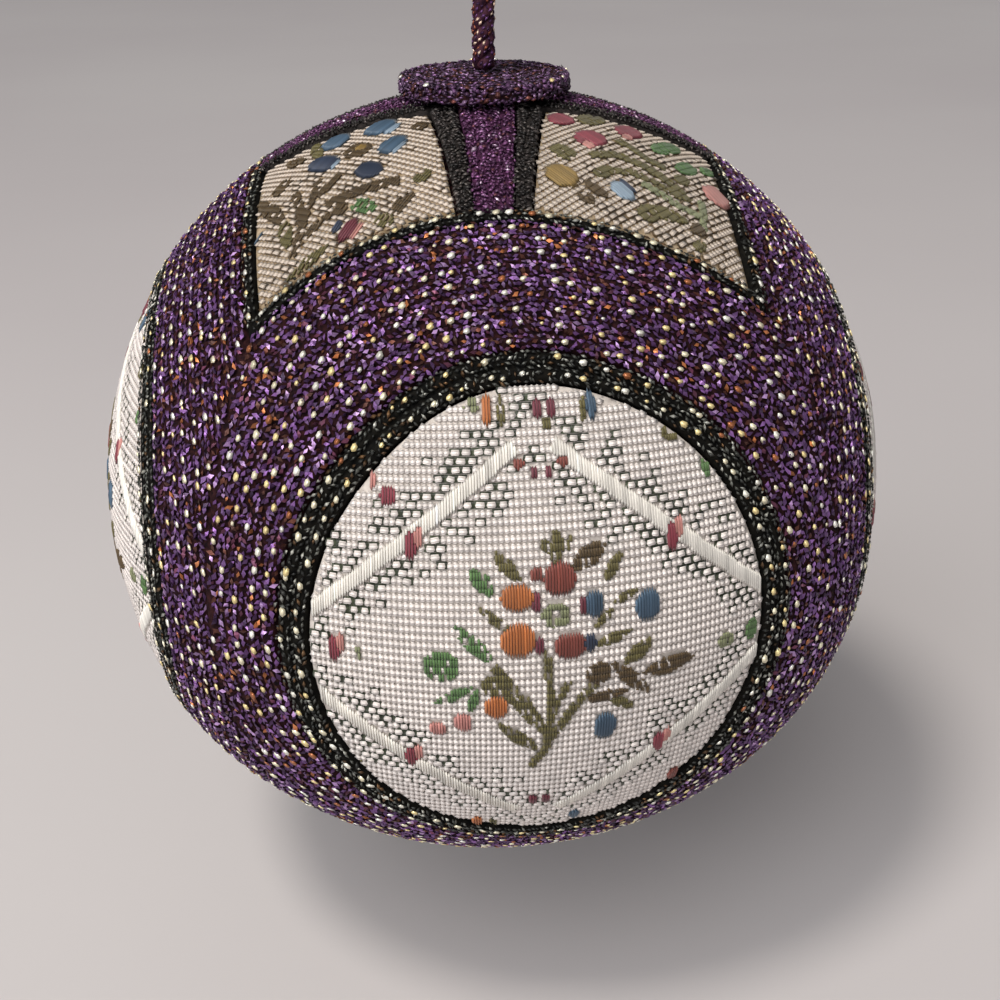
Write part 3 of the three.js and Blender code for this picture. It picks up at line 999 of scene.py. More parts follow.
def row_stations(line, up, step, closed, phase):
    """Places a set step apart along a row, and the directions out of the ball, ahead and aside."""
    places = evenly(line, step, closed)
    nearest = np.argmin(np.linalg.norm(places[:, None, :] - line[None, :, :], axis=2), axis=1)
    out = unit(up[nearest])
    if closed:
        ahead = unit(np.roll(places, -1, axis=0) - np.roll(places, 1, axis=0))
    else:
        ahead = unit(np.gradient(places, axis=0))
    slide = step * (phase + chance.normal(0.0, UNEVEN_SLIDE, (len(places), 1)))
    return places + ahead * slide, out, ahead, np.cross(out, ahead)


def dash_line(line, up, width, offset, lean, kind, closed, phase):
    """One line of dashes, at an offset from the middle of its row."""
    places, out, ahead, aside = row_stations(line, up, kind["pitch"], closed, phase)
    count = len(places)
    share = offset / (width / 2)
    lay = lean + chance.normal(0.0, kind["spread"], (count, 1))
    slope = aside * (2 * ROW_DOME * share / (width / 2))
    tilt = out + slope + chance.normal(0.0, UNEVEN_TILT, (count, 3))
    size = np.clip(chance.normal(1.0, UNEVEN_SIZE, count), *DASH_SIZE_LIMITS)
    aslant = aside * (offset + chance.normal(0.0, kind["wander"], (count, 1)))
    return grains(
        places + aslant - out * (ROW_DOME * share ** 2), ahead * np.cos(lay) + aside * np.sin(lay), tilt,
        kind["half_length"] * size, kind["half_width"] * size, DASH_HEIGHT,
        picked_tints(kind["tints"], kind["shares"], count, UNEVEN_GLOW),
    )


def gold_line(line, up, pitch, closed):
    """Flat stitches of gold foil along the middle of a row. Some have sunk in and are left out."""
    phase = chance.uniform(-0.5, 0.5)
    places, out, ahead, aside = row_stations(line, up, pitch, closed, phase)
    count = len(places)
    size = np.clip(chance.normal(1.0, UNEVEN_SIZE, count), *GOLD_SIZE_LIMITS)
    tilt = out + chance.normal(0.0, GOLD_TILT, (count, 3))
    wander = aside * chance.normal(0.0, GOLD_WANDER, (count, 1))
    batch = grains(
        places + wander + out * GOLD_LIFT, ahead + aside * GOLD_LEAN, tilt,
        GOLD_LENGTH * size, GOLD_WIDTH * size, GOLD_HEIGHT,
        picked_tints(GOLD_AND_HIGHLIGHT_TINTS, GOLD_SHARES, count, GOLD_GLOW),
    )
    return chosen(batch, chance.random(count) < GOLD_KEPT)


def braid_row(line, up, width, kind, closed=False):
    """The dashes of one row. Neighbouring lines lean opposite ways, like a plait."""
    step = width / BRAID_LINES
    phase = chance.uniform(-0.5, 0.5)
    batches = []
    for number in range(BRAID_LINES):
        offset = (number + 0.5) * step - width / 2
        lean = kind["lean"] * (1 if number % 2 else -1)
        batches.append(dash_line(line, up, width, offset, lean, kind, closed, phase + number % 2 / 2))
    return gathered(batches)


# %% Rows around a roundel
ROW_POINTS = 720
WAVER = 0.09 * MM
SLOW_WAVES = 3
QUICK_WAVES = 7
QUICK_SHARE = 0.6


def ring_row(quarter, arc):
    """A row around a roundel at a distance from its centre along the ball, with a slow waver."""
    turn = np.linspace(0.0, FULL_TURN, ROW_POINTS, endpoint=False)
    phase = chance.uniform(0.0, FULL_TURN, 2)
    waves = np.sin(SLOW_WAVES * turn + phase[0]) + QUICK_SHARE * np.sin(QUICK_WAVES * turn + phase[1])
    waver = WAVER * waves / (1 + QUICK_SHARE)
    angle = (arc + waver) / BALL_RADIUS
    out = np.stack([np.sin(angle) * np.cos(turn), -np.cos(angle), np.sin(angle) * np.sin(turn)], axis=1)
    out = out @ np.array(quarter_turn(quarter)).T
    return out * ROW_RADIUS, out


def quarter_axes(quarter):
    turn = np.array(quarter_turn(quarter))
    return turn @ np.array(FRONT), turn @ np.array(RIGHT)


def in_quarter(batch, quarter, inset):
    """Which grains lie on a roundel's own side of the seams."""
    axis, side = quarter_axes(quarter)
    return batch["places"] @ axis - np.abs(batch["places"] @ side) > inset


def row_arcs(start, rows):
    return [start + BRAID_WIDTH * (row + 0.5) for row in range(rows)]


RING_START = ROUNDEL_ARC
BAND_START = ROUNDEL_ARC + RING_ROWS * BRAID_WIDTH
OUTER_START = BAND_START + BAND_ROWS * BRAID_WIDTH
SEAM_INSET = 0.25 * MM
BAND_GOLD_PITCH = 1.8 * MM
DARK_GOLD_PITCH = 1.9 * MM


def ring_rows(quarter, arcs, kind, gold_pitch):
    """The dashes of rows around a roundel, and their gold stitches."""
    dashes, gold = [], []
    for arc in arcs:
        line, out = ring_row(quarter, arc)
        dashes.append(braid_row(line, out, BRAID_WIDTH, kind, closed=True))
        gold.append(gold_line(line, out, gold_pitch, closed=True))
    return gathered(dashes), gathered(gold)


def between_seams(batch, quarter):
    return chosen(batch, in_quarter(batch, quarter, SEAM_INSET))


for quarter in QUARTERS:
    rows = ring_rows(quarter, row_arcs(BAND_START, BAND_ROWS), PURPLE, BAND_GOLD_PITCH)
    dashes, gold = [between_seams(batch, quarter) for batch in rows]
    sow(f"band_dashes_{quarter + 1}", dashes, purple_yarn, DASH, smooth=False)
    sow(f"band_gold_{quarter + 1}", gold, gold_foil, FLOAT)

# %% Dark rows
for quarter in QUARTERS:
    ring = ring_rows(quarter, row_arcs(RING_START, RING_ROWS), DARK, DARK_GOLD_PITCH)
    outer = ring_rows(quarter, row_arcs(OUTER_START, 1), DARK, BAND_GOLD_PITCH)
    dashes, gold = [gathered([near, between_seams(far, quarter)]) for near, far in zip(ring, outer)]
    sow(f"dark_dashes_{quarter + 1}", dashes, dark_yarn, DASH)
    sow(f"dark_gold_{quarter + 1}", gold, gold_foil, FLOAT)

# %% [markdown]
# Each strip runs from under its cap down to its band. Their braid is finer and fuzzier, without gold,
# and the dark edges show threads that lie across. The rows spread towards the cap, so each row keeps its
# share of the strip's width.

# %% Rows of the strips
STRIP_ROWS = 4
EDGE_ROWS = 2
STRIP_POINTS = 60
MEAN_HALF_WIDTH = (STRIP_HALF_TOP + STRIP_HALF_FOOT) / 2


def strip_row(share):
    """A row of the front strip at a share of its half width, from the cap to the band."""
    top = math.asin(UNDER_CAP / BALL_RADIUS)
    foot = QUARTER_TURN - OUTER_EDGE - EDGE_GAP
    down = np.linspace(top, foot, STRIP_POINTS)
    distance = BALL_RADIUS * np.sin(down)
    aside = share * strip_half(distance)
    out = unit(np.stack([aside, -distance, BALL_RADIUS * np.cos(down)], axis=1))
    return out * ROW_RADIUS, out


def row_shares(inner, outer, rows):
    """The shares of the half width at the middle of each row, and the width of a row."""
    step = (outer - inner) / rows
    return [inner + step * (row + 0.5) for row in range(rows)], step * MEAN_HALF_WIDTH


purple_shares, purple_width = row_shares(-STRIP_PURPLE_SHARE, STRIP_PURPLE_SHARE, STRIP_ROWS)
right_shares, edge_width = row_shares(STRIP_PURPLE_SHARE, 1.0, EDGE_ROWS)
edge_shares = right_shares + [-share for share in right_shares]
strip_dashes, edge_dashes = [], []
for share in purple_shares:
    line, out = strip_row(share)
    strip_dashes.append(braid_row(line, out, purple_width, STRIP))
for share in edge_shares:
    line, out = strip_row(share)
    edge_dashes.append(braid_row(line, out, edge_width, EDGE))


def all_around(batches):
    """The same batch on all eight strips, kept to each strip's own side of the seams."""
    batch = gathered(batches)
    batch = chosen(batch, in_quarter(batch, 0, 0.0))
    turns = [half_turn(half) @ quarter_turn(quarter) for half in HALVES for quarter in QUARTERS]
    return gathered([turned_batch(batch, turn) for turn in turns])


sow("strip_dashes", all_around(strip_dashes), purple_yarn, DASH)
sow("strip_edge_dashes", all_around(edge_dashes), dark_yarn, DASH)

# %% Rows of the caps
CAP_POINTS = 180
CAP_GOLD_PITCH = 3.4 * MM
CAP_ROW_SINK = 0.2 * MM
CAP_RIM = 0.35 * MM


def cap_row(radius, height, slope):
    """A level row of a cap. Its slope is the angle of the surface's direction over the level."""
    turn = np.linspace(0.0, FULL_TURN, CAP_POINTS, endpoint=False)
    level = np.stack([np.cos(turn), np.sin(turn), np.zeros(CAP_POINTS)], axis=1)
    line = level * radius + np.array(UP) * height
    return line, level * math.cos(slope) + np.array(UP) * math.sin(slope)


cap_rows = [(cap_row(radius, CAP_TOP - CAP_ROW_SINK, QUARTER_TURN), BRAID_WIDTH) for radius in CAP_ROW_RADII]
rim_row = cap_row(CAP_RADIUS - CAP_RIM, CAP_TOP - CAP_RIM, QUARTER_TURN / 2)
cap_rows.append((rim_row, CAP_SIDE_STEP))
for drop in CAP_SIDE_DROPS:
    cap_rows.append((cap_row(CAP_RADIUS - CAP_ROW_SINK, CAP_TOP - drop, 0.0), CAP_SIDE_STEP))
upper_dashes = gathered([braid_row(*row, width, CAP, closed=True) for row, width in cap_rows])
upper_gold = gold_line(*rim_row, CAP_GOLD_PITCH, closed=True)
turns = [half_turn(half) for half in HALVES]
cap_dashes = gathered([turned_batch(upper_dashes, turn) for turn in turns])
cap_gold = gathered([turned_batch(upper_gold, turn) for turn in turns])
sow("cap_dashes", cap_dashes, purple_yarn, DASH)
sow("cap_gold", cap_gold, gold_foil, FLOAT)

# %% [markdown]
# ## Brocade
#
# The cloth is an ivory ribbed silk, cut in rounds and panels and stretched over the ball. Its ribs are rows
# of small floats, and coloured floats that run across the ribs draw flowers. The sheet itself is a thin patch
# of the sphere. The weave on it is charted as a weaver would chart it: each motif is a few dozen blossoms,
# leaves and stems listed one by one in millimetres, and the loom's grid turns them into floats.

# %% The cloth
CLOTH_RADIUS = 39.25 * MM
CLOTH_BED = 38.3 * MM


def roundel_cloth():
    edge = ROUNDEL_EDGE - EDGE_GAP
    plane = (FRONT * (CLOTH_RADIUS * math.cos(edge)), -FRONT)
    return patch(CLOTH_RADIUS, [plane], CLOTH_BED)


def panel_cloth():
    """The panel between the front band and the one on its right."""
    quarter = quarter_turn(1)
    beside = facing_back(strip_side(1.0, 1, GAP / 2))
    before = facing_back(strip_side(1.0, -1, GAP / 2))
    before = (quarter @ before[0], quarter @ before[1])
    planes = [
        ring_plane(FRONT, CLOTH_RADIUS, OUTER_EDGE + EDGE_GAP),
        ring_plane(RIGHT, CLOTH_RADIUS, OUTER_EDGE + EDGE_GAP),
        cap_plane(CLOTH_RADIUS), (MIDDLE, -UP), beside, before,
    ]
    return patch(CLOTH_RADIUS, planes, CLOTH_BED)


for quarter in QUARTERS:
    shape, roundel_area = roundel_cloth()
    name = f"roundel_{quarter + 1}"
    turn = quarter_turn(quarter)
    settled_piece(f"{name}_cloth", shape, ivory_ground, [name], turn)
    for half in HALVES:
        shape, panel_area = panel_cloth()
        name = f"{half}_panel_{quarter + 1}"
        turn = half_turn(half) @ quarter_turn(quarter)
        settled_piece(f"{name}_cloth", shape, panel_ground, [name], turn)
print("roundel cloth", round(roundel_area / MM ** 2), "mm2, panel cloth", round(panel_area / MM ** 2), "mm2")

# %% [markdown]
# The yarns are the dyed silks of the motif. A bloom is a round of one colour, a blade is a stroke that tapers
# to both ends, and a stem is a stroke of even width. Later strokes lie over earlier ones. Bright yarns are
# satin, with long floats across the ribs. The yarns of leaves and stems are bound at every rib and worn in
# places, so ivory shows between their floats.

# %% Yarns and strokes
YARNS = {
    "white": linear(232, 227, 218),
    "orange": linear(180, 108, 58),
    "rust": linear(128, 66, 56),
    "wine": linear(104, 44, 56),
    "blue": linear(66, 88, 108),
    "navy": linear(44, 54, 74),
    "green": linear(84, 116, 66),
    "sage": linear(126, 130, 96),
    "olive": linear(96, 88, 48),
    "bark": linear(82, 64, 36),
    "pink": linear(192, 132, 124),
    "red": linear(136, 56, 68),
    "gold": linear(138, 112, 60),
    "sky": linear(136, 154, 170),
}
YARN_NAMES = tuple(YARNS)
BARE = -1
YARN_TINTS = np.array([YARNS[name] for name in YARN_NAMES])
BOUND = [YARN_NAMES.index(name) for name in ("olive", "bark", "sage", "green")]
BLOOM_ROUNDNESS = 2.2
BLADE_SHARPNESS = 1.6


def bloom(chart, u, v, yarn, centre, size):
    aside, above = (u - centre[0]) / (size[0] / 2), (v - centre[1]) / (size[1] / 2)
    inside = np.abs(aside) ** BLOOM_ROUNDNESS + np.abs(above) ** BLOOM_ROUNDNESS < 1
    chart[inside] = YARN_NAMES.index(yarn)


def blade(chart, u, v, yarn, foot, tip, width, taper=0.75):
    """A leaf from its foot to its tip, or an even stem where the taper is 0."""
    run = np.array(tip) - np.array(foot)
    length = np.hypot(*run)
    along = ((u - foot[0]) * run[0] + (v - foot[1]) * run[1]) / length ** 2
    aside = np.abs((u - foot[0]) * run[1] - (v - foot[1]) * run[0]) / length
    reach = width / 2 * (1 - taper * np.abs(2 * np.clip(along, 0, 1) - 1) ** BLADE_SHARPNESS)
    chart[(aside < reach) & (along > 0) & (along < 1)] = YARN_NAMES.index(yarn)


def stems(chart, u, v, yarn, points, width):
    for foot, tip in zip(points, points[1:]):
        blade(chart, u, v, yarn, foot, tip, width, taper=0.0)


# %% The roundel's motif
LATTICE_CENTRE = (-0.5, -0.3)
LATTICE_HALF = (25.0, 20.0)
LATTICE_LINE = 1.3
MEDALLION_HEIGHT = 21.0
MEDALLION_SLOPE = 0.7
MEDALLION_REACH = 3.4


def lattice_distance(u, v):
    """How far a point lies outside the diamond, in millimetres across its line."""
    reach = np.abs(u - LATTICE_CENTRE[0]) / LATTICE_HALF[0] + np.abs(v - LATTICE_CENTRE[1]) / LATTICE_HALF[1]
    return (reach - 1) / math.hypot(1 / LATTICE_HALF[0], 1 / LATTICE_HALF[1])


def sprig(chart, u, v):
    """A small bush of flowers in the middle of the diamond."""
    stems(chart, u, v, "olive", [(-1.4, -11.8), (0.0, -9.4), (0.2, -5.0), (0.0, 1.0)], 0.7)
    stems(chart, u, v, "olive", [(-0.2, -7.6), (-2.2, -3.4), (-4.6, -0.4)], 0.8)
    stems(chart, u, v, "olive", [(0.2, -8.4), (2.6, -4.4), (4.2, -2.6)], 0.8)
    stems(chart, u, v, "olive", [(-1.2, -6.4), (-4.2, -2.2)], 0.7)
    stems(chart, u, v, "olive", [(0.4, -5.6), (1.8, -2.2)], 0.6)
    for yarn, foot, tip, width in (
        ("olive", (-0.8, -9.6), (-4.2, -6.4), 1.3), ("green", (-4.6, 0.0), (-7.8, 3.4), 1.4),
        ("olive", (-2.2, 7.2), (-4.4, 10.0), 1.3), ("green", (-4.6, 6.2), (-6.2, 8.4), 1.5),
        ("olive", (0.8, 8.6), (0.9, 11.4), 1.5), ("olive", (0.0, 9.6), (-0.2, 10.8), 0.6),
        ("olive", (1.9, 9.6), (2.2, 10.8), 0.6), ("bark", (2.2, 8.0), (5.0, 10.0), 1.8),
        ("olive", (5.0, 6.8), (6.4, 9.0), 1.1), ("olive", (4.0, 2.6), (5.6, 4.2), 0.8),
        ("olive", (5.6, 4.6), (7.8, 5.6), 0.8), ("olive", (4.2, 1.0), (7.2, 2.0), 1.1),
        ("olive", (6.6, -1.2), (9.2, 0.8), 1.5), ("bark", (8.4, -2.6), (13.2, -1.8), 1.8),
        ("bark", (5.6, -1.0), (9.0, -4.6), 1.4), ("bark", (3.2, -4.4), (7.0, -4.0), 1.2),
        ("olive", (5.4, -4.6), (7.8, -6.0), 1.1), ("olive", (-3.0, 2.8), (-5.6, 5.0), 0.9),
        ("green", (-6.4, -2.4), (-9.6, -4.2), 1.1), ("green", (-6.0, -2.6), (-6.6, -5.0), 0.9),
    ):
        blade(chart, u, v, yarn, foot, tip, width)
    for yarn, centre, size in (
        ("olive", (-4.6, -2.3), (2.2, 2.0)), ("bark", (4.4, -1.8), (2.2, 2.2)),
        ("sage", (0.7, 4.1), (2.4, 2.2)), ("rust", (1.1, 7.3), (2.7, 2.7)),
        ("rust", (-0.8, 7.8), (1.1, 1.2)), ("rust", (1.9, 1.2), (2.8, 2.2)),
        ("wine", (-0.9, 5.4), (0.8, 1.6)), ("wine", (-0.7, 1.4), (0.7, 1.6)),
        ("orange", (-2.5, 5.9), (2.7, 2.2)), ("orange", (-2.5, 2.0), (2.9, 2.9)),
        ("orange", (-4.4, -4.5), (2.0, 2.2)), ("wine", (3.0, 4.8), (0.7, 1.6)),
        ("blue", (4.0, 4.8), (1.6, 2.2)), ("blue", (8.7, 4.0), (2.2, 2.6)),
        ("blue", (5.1, -7.6), (2.0, 2.7)), ("navy", (3.6, 1.3), (1.0, 1.6)),
        ("green", (-9.0, -0.4), (3.0, 2.9)), ("pink", (-7.3, -6.2), (1.6, 1.8)),
        ("pink", (-9.5, -7.0), (1.6, 1.3)),
    ):
        bloom(chart, u, v, yarn, centre, size)


def bud(chart, u, v, centre):
    """A small red bud with a pink side, on a line of the lattice."""
    bloom(chart, u, v, "red", (centre[0] - 0.2, centre[1] - 0.3), (1.0, 2.3))
    bloom(chart, u, v, "pink", (centre[0] + 0.5, centre[1] + 0.4), (0.7, 1.8))


def lattice(chart, u, v):
    """A diamond of satin lines with buds on its sides, medallions above and below, and sprays around it."""
    chart[np.abs(lattice_distance(u, v)) < LATTICE_LINE / 2] = YARN_NAMES.index("white")
    beside = np.abs(u - LATTICE_CENTRE[0]) + MEDALLION_SLOPE * np.abs(np.abs(v) - MEDALLION_HEIGHT)
    chart[beside < MEDALLION_REACH] = BARE
    for centre in ((-11.0, 10.7), (11.3, 10.0), (-11.8, -10.5), (10.7, -10.8), (-18.2, 0.6)):
        bud(chart, u, v, centre)
    for side in (-1, 1):
        bloom(chart, u, v, "wine", (0.6 + side * 0.6, 21.4), (0.8, 1.6))
        bloom(chart, u, v, "wine", (-0.4 + side * 0.6, -17.0), (0.8, 1.4))
        bloom(chart, u, v, "rust", (side * 1.9, 17.0), (1.0, 0.9))
        bloom(chart, u, v, "wine", (side * 0.6, 16.2), (0.6, 1.0))
    for yarn, centre, size in (
        ("olive", (0.7, 20.2), (0.8, 1.0)), ("sage", (-16.2, 0.2), (0.7, 1.4)),
        ("green", (19.5, -1.2), (1.2, 2.2)), ("sage", (16.6, -1.4), (1.6, 1.5)),
        ("orange", (-4.3, 21.5), (0.8, 2.6)), ("sage", (-5.6, 22.0), (1.4, 1.4)),
        ("olive", (-3.1, 21.4), (0.6, 2.6)), ("blue", (4.7, 21.4), (0.8, 2.4)),
        ("olive", (3.9, 21.2), (0.6, 2.4)), ("gold", (6.4, 22.0), (1.2, 1.4)),
        ("red", (-13.0, 14.5), (1.4, 1.6)), ("pink", (-14.8, 15.8), (1.6, 1.6)),
        ("olive", (12.0, 18.4), (2.2, 1.4)), ("green", (15.0, 15.0), (1.2, 1.8)),
        ("orange", (17.8, 12.4), (1.0, 2.0)), ("rust", (13.2, -17.2), (1.6, 2.0)),
        ("olive", (17.4, -14.0), (1.4, 1.6)), ("orange", (-6.1, -21.6), (0.9, 2.2)),
        ("olive", (-4.6, -21.8), (0.8, 2.0)), ("blue", (3.3, -21.2), (0.9, 2.0)),
        ("olive", (-17.4, -12.8), (1.4, 1.2)),
    ):
        bloom(chart, u, v, yarn, centre, size)


# %% The panels' motifs
def blue_flower(chart, u, v):
    """The panel on the left of a strip: a blue flower over a fan of brown and olive leaves."""
    stems(chart, u, v, "bark", [(-0.6, 0.4), (1.6, 2.8), (4.6, 5.0)], 1.3)
    stems(chart, u, v, "bark", [(-5.4, 1.4), (-2.6, -1.0), (-1.0, -2.8)], 0.9)
    stems(chart, u, v, "bark", [(-2.0, 4.4), (-2.2, 1.2)], 0.8)
    stems(chart, u, v, "bark", [(-3.8, 3.4), (-2.4, 0.2), (-0.4, -5.6)], 0.7)
    stems(chart, u, v, "bark", [(1.4, 1.0), (0.0, -1.8), (-0.6, -4.0)], 0.9)
    for yarn, foot, tip, width in (
        ("bark", (-10.0, 0.2), (-3.4, -2.4), 1.6), ("olive", (-4.4, -1.8), (-1.4, -4.8), 1.5),
        ("olive", (-10.0, 9.2), (-6.6, 6.4), 1.4), ("olive", (0.4, -7.8), (2.6, -3.6), 1.2),
        ("green", (-14.4, 2.8), (-11.2, 0.6), 1.6),
    ):
        blade(chart, u, v, yarn, foot, tip, width)
    for yarn, centre, size in (
        ("bark", (-9.8, 6.0), (2.6, 1.5)), ("bark", (-8.1, 2.2), (1.7, 2.6)),
        ("bark", (0.6, 13.2), (1.6, 1.7)), ("bark", (-4.0, 15.0), (3.0, 1.6)),
        ("olive", (6.2, 6.3), (1.4, 1.9)), ("bark", (6.6, 2.6), (1.3, 3.2)),
        ("green", (3.3, 1.2), (2.6, 1.7)), ("olive", (6.2, 0.3), (1.7, 1.6)),
        ("bark", (1.2, 0.3), (1.4, 1.6)), ("wine", (3.5, -1.6), (1.3, 2.6)),
        ("pink", (4.4, -1.5), (0.7, 2.0)), ("navy", (2.2, -1.6), (0.9, 1.3)),
        ("blue", (-7.0, -4.2), (2.4, 2.2)), ("blue", (-3.5, 12.2), (2.9, 3.0)),
        ("blue", (-7.0, 9.3), (3.0, 2.7)), ("blue", (0.4, 9.5), (2.4, 3.0)),
        ("navy", (-5.2, 5.6), (3.8, 2.3)), ("navy", (0.7, 5.5), (2.8, 2.2)),
        ("sky", (-1.8, 12.0), (0.7, 2.2)), ("sky", (1.4, 9.2), (0.5, 2.0)),
        ("sky", (-3.6, 5.6), (0.6, 1.4)), ("bark", (-2.8, 8.0), (2.8, 2.5)),
        ("gold", (-2.7, 8.4), (1.2, 1.1)),
    ):
        bloom(chart, u, v, yarn, centre, size)


def red_flower(chart, u, v):
    """The panel on the right of a strip: red and pink flowers, green leaves and gold ones."""
    stems(chart, u, v, "olive", [(-4.4, 7.6), (-1.8, 6.4), (-0.6, 4.0), (0.2, 1.0), (0.1, -1.2)], 1.0)
    stems(chart, u, v, "olive", [(-4.2, 4.8), (-2.6, 3.8), (-1.6, 1.6), (-0.4, -0.6)], 0.9)
    stems(chart, u, v, "olive", [(0.6, 8.2), (0.8, 4.6), (1.6, 3.0)], 0.8)
    stems(chart, u, v, "sage", [(-3.0, 2.4), (-1.6, -1.6), (-0.4, -3.0)], 0.8)
    stems(chart, u, v, "sage", [(1.6, -1.6), (0.2, -3.0), (-1.6, -4.4)], 0.8)
    blade(chart, u, v, "olive", (-5.6, 0.2), (-2.4, -3.0), 1.7)
    for yarn, centre, size in (
        ("olive", (-5.6, -0.6), (2.0, 2.0)), ("bark", (-2.0, -4.1), (1.6, 1.4)),
        ("olive", (-3.4, -5.6), (1.4, 1.2)), ("gold", (-9.2, 6.9), (2.6, 3.0)),
        ("olive", (-6.3, 9.3), (2.0, 2.5)), ("olive", (-5.3, 5.2), (2.2, 1.5)),
        ("bark", (-7.8, 4.0), (1.1, 2.6)), ("bark", (-9.5, 3.6), (1.1, 1.8)),
        ("sky", (-5.8, 2.5), (1.7, 2.4)), ("navy", (-4.8, 2.7), (0.6, 2.0)),
        ("pink", (1.6, 15.6), (4.0, 2.0)), ("red", (-1.3, 13.6), (2.6, 2.3)),
        ("olive", (1.8, 12.2), (3.4, 2.2)), ("red", (5.4, 13.0), (2.6, 2.4)),
        ("red", (-2.0, 9.5), (3.2, 2.6)), ("pink", (-3.2, 8.8), (1.0, 1.2)),
        ("red", (3.7, 9.0), (3.0, 2.3)), ("pink", (2.4, 8.2), (1.0, 1.0)),
        ("green", (5.6, 5.6), (4.8, 2.0)), ("green", (4.6, 2.4), (3.2, 1.8)),
        ("olive", (2.0, 1.2), (1.8, 1.4)), ("green", (7.6, 1.6), (2.0, 1.3)),
        ("pink", (4.6, -1.6), (2.8, 2.8)),
    ):
        bloom(chart, u, v, yarn, centre, size)


# %% The loom
WORN = 0.16
FINE = 4
BEAD_COLUMNS = 2
PAIR_COLUMNS = 2 * BEAD_COLUMNS


def loom(motifs, mortar, warp, axes, reach, rib, bead, ivory):
    """Charts motifs, in millimetres. A column is half a bead wide, and each rib has several rows of chart."""
    ribs = math.ceil(reach / rib)
    rows = np.arange(-ribs * FINE, ribs * FINE + 1) * rib / FINE
    half_width = math.ceil(reach / bead) * BEAD_COLUMNS
    columns = np.arange(-half_width, half_width + 1) * bead / BEAD_COLUMNS
    u, v = np.meshgrid(columns, rows)
    chart = np.full(u.shape, BARE)
    for motif in motifs:
        motif(chart, u, v)
    worn = chance.random((2 * ribs + 1, len(columns))) < WORN
    worn = np.repeat(worn, FINE, axis=0)[FINE // 2:][:len(rows)]
    chart[worn & np.isin(chart, BOUND)] = BARE
    return {
        "chart": chart, "columns": columns, "rows": rows, "axes": axes, "rib": rib, "bead": bead,
        "mortar": mortar, "warp": warp, "ivory": ivory,
    }


def float_runs(chart):
    """The floats down each column: column, first row, last row, yarn. Bound yarns stop at every rib."""
    runs = []
    for column in range(chart.shape[1]):
        breaks = np.flatnonzero(np.diff(chart[:, column])) + 1
        starts = np.concatenate([[0], breaks])
        ends = np.concatenate([breaks, [chart.shape[0]]])
        for first, end in zip(starts, ends):
            yarn = chart[first, column]
            if yarn == BARE:
                continue
            cuts = [first, end]
            if yarn in BOUND:
                seams = np.arange(FINE // 2, chart.shape[0], FINE)
                cuts = [first] + list(seams[(seams > first) & (seams < end)]) + [end]
            runs.extend((column, low, high - 1, yarn) for low, high in zip(cuts, cuts[1:]))
    return np.array(runs)


def on_ball(u, v, axes):
    """A point of the flat cloth, in millimetres, as a direction from the ball's centre."""
    axis, east, north = axes
    angle = np.hypot(u, v) * MM / BALL_RADIUS
    heading = np.arctan2(v, u)
    flat = np.cos(heading)[:, None] * east + np.sin(heading)[:, None] * north
    return np.cos(angle)[:, None] * axis + np.sin(angle)[:, None] * flat


def cloth_frame(u, v, axes):
    """The direction out of the cloth, along a rib and across the ribs, at points of the flat cloth."""
    nudge = 0.05
    out = on_ball(u, v, axes)
    along = unit(on_ball(u + nudge, v, axes) - on_ball(u - nudge, v, axes))
    return out, along, np.cross(out, along)


# %% Ribs
RIB_RADIUS = CLOTH_RADIUS + 0.1 * MM
BED_RADIUS = CLOTH_RADIUS + 0.06 * MM
BRICK_RADIUS = CLOTH_RADIUS + 0.16 * MM
FLOAT_RADIUS = CLOTH_RADIUS + 0.18 * MM
TICK_NEAR = 0.8
TICK_FAR = 4.2
TICK_SHARE = 0.9
RIB_LEAN = 0.2
BEAD_LENGTH = 0.9
BEAD_WIDTH = 0.62
BEAD_HEIGHT = 0.24
IVORY_GLOW = 0.07
IVORY_LIMITS = (0.75, 1.12)


def lattice_mortar(u, v):
    """The chance that dark warp shows around a pair of beads: highest beside the lattice line."""
    away = np.abs(lattice_distance(u, v))
    return np.where(away > TICK_NEAR, TICK_SHARE * (TICK_FAR - away) / (TICK_FAR - TICK_NEAR), 0.0)


PANEL_MORTAR_SHARE = 0.75
PANEL_MORTAR_REACH = 12.0


def panel_mortar(u, v):
    """On a panel dark warp shows around its middle, between the leaves."""
    return PANEL_MORTAR_SHARE * (1 - np.hypot(u, v) / PANEL_MORTAR_REACH)


def bead_pairs(cloth):
    """Where pairs of beads lie along the ribs, staggered like bricks, and which of them show dark warp."""
    starts = np.arange(0, len(cloth["columns"]) - PAIR_COLUMNS - BEAD_COLUMNS, PAIR_COLUMNS)
    row, column = np.meshgrid(np.arange(0, len(cloth["rows"]), FINE), starts, indexing="ij")
    row, column = row.ravel(), column.ravel()
    column = column + BEAD_COLUMNS * (row // FINE % 2)
    u = cloth["columns"][column] + cloth["bead"]
    v = cloth["rows"][row]
    bare = np.all([cloth["chart"][row, column + step] == BARE for step in range(PAIR_COLUMNS)], axis=0)
    bricks = bare & (chance.random(len(row)) < cloth["mortar"](u, v))
    return {"u": u, "v": v, "row": row, "column": column, "bricks": bricks}


def ivory_tints(cloth, count):
    return cloth["ivory"] * np.clip(chance.normal(1.0, IVORY_GLOW, (count, 1)), *IVORY_LIMITS)


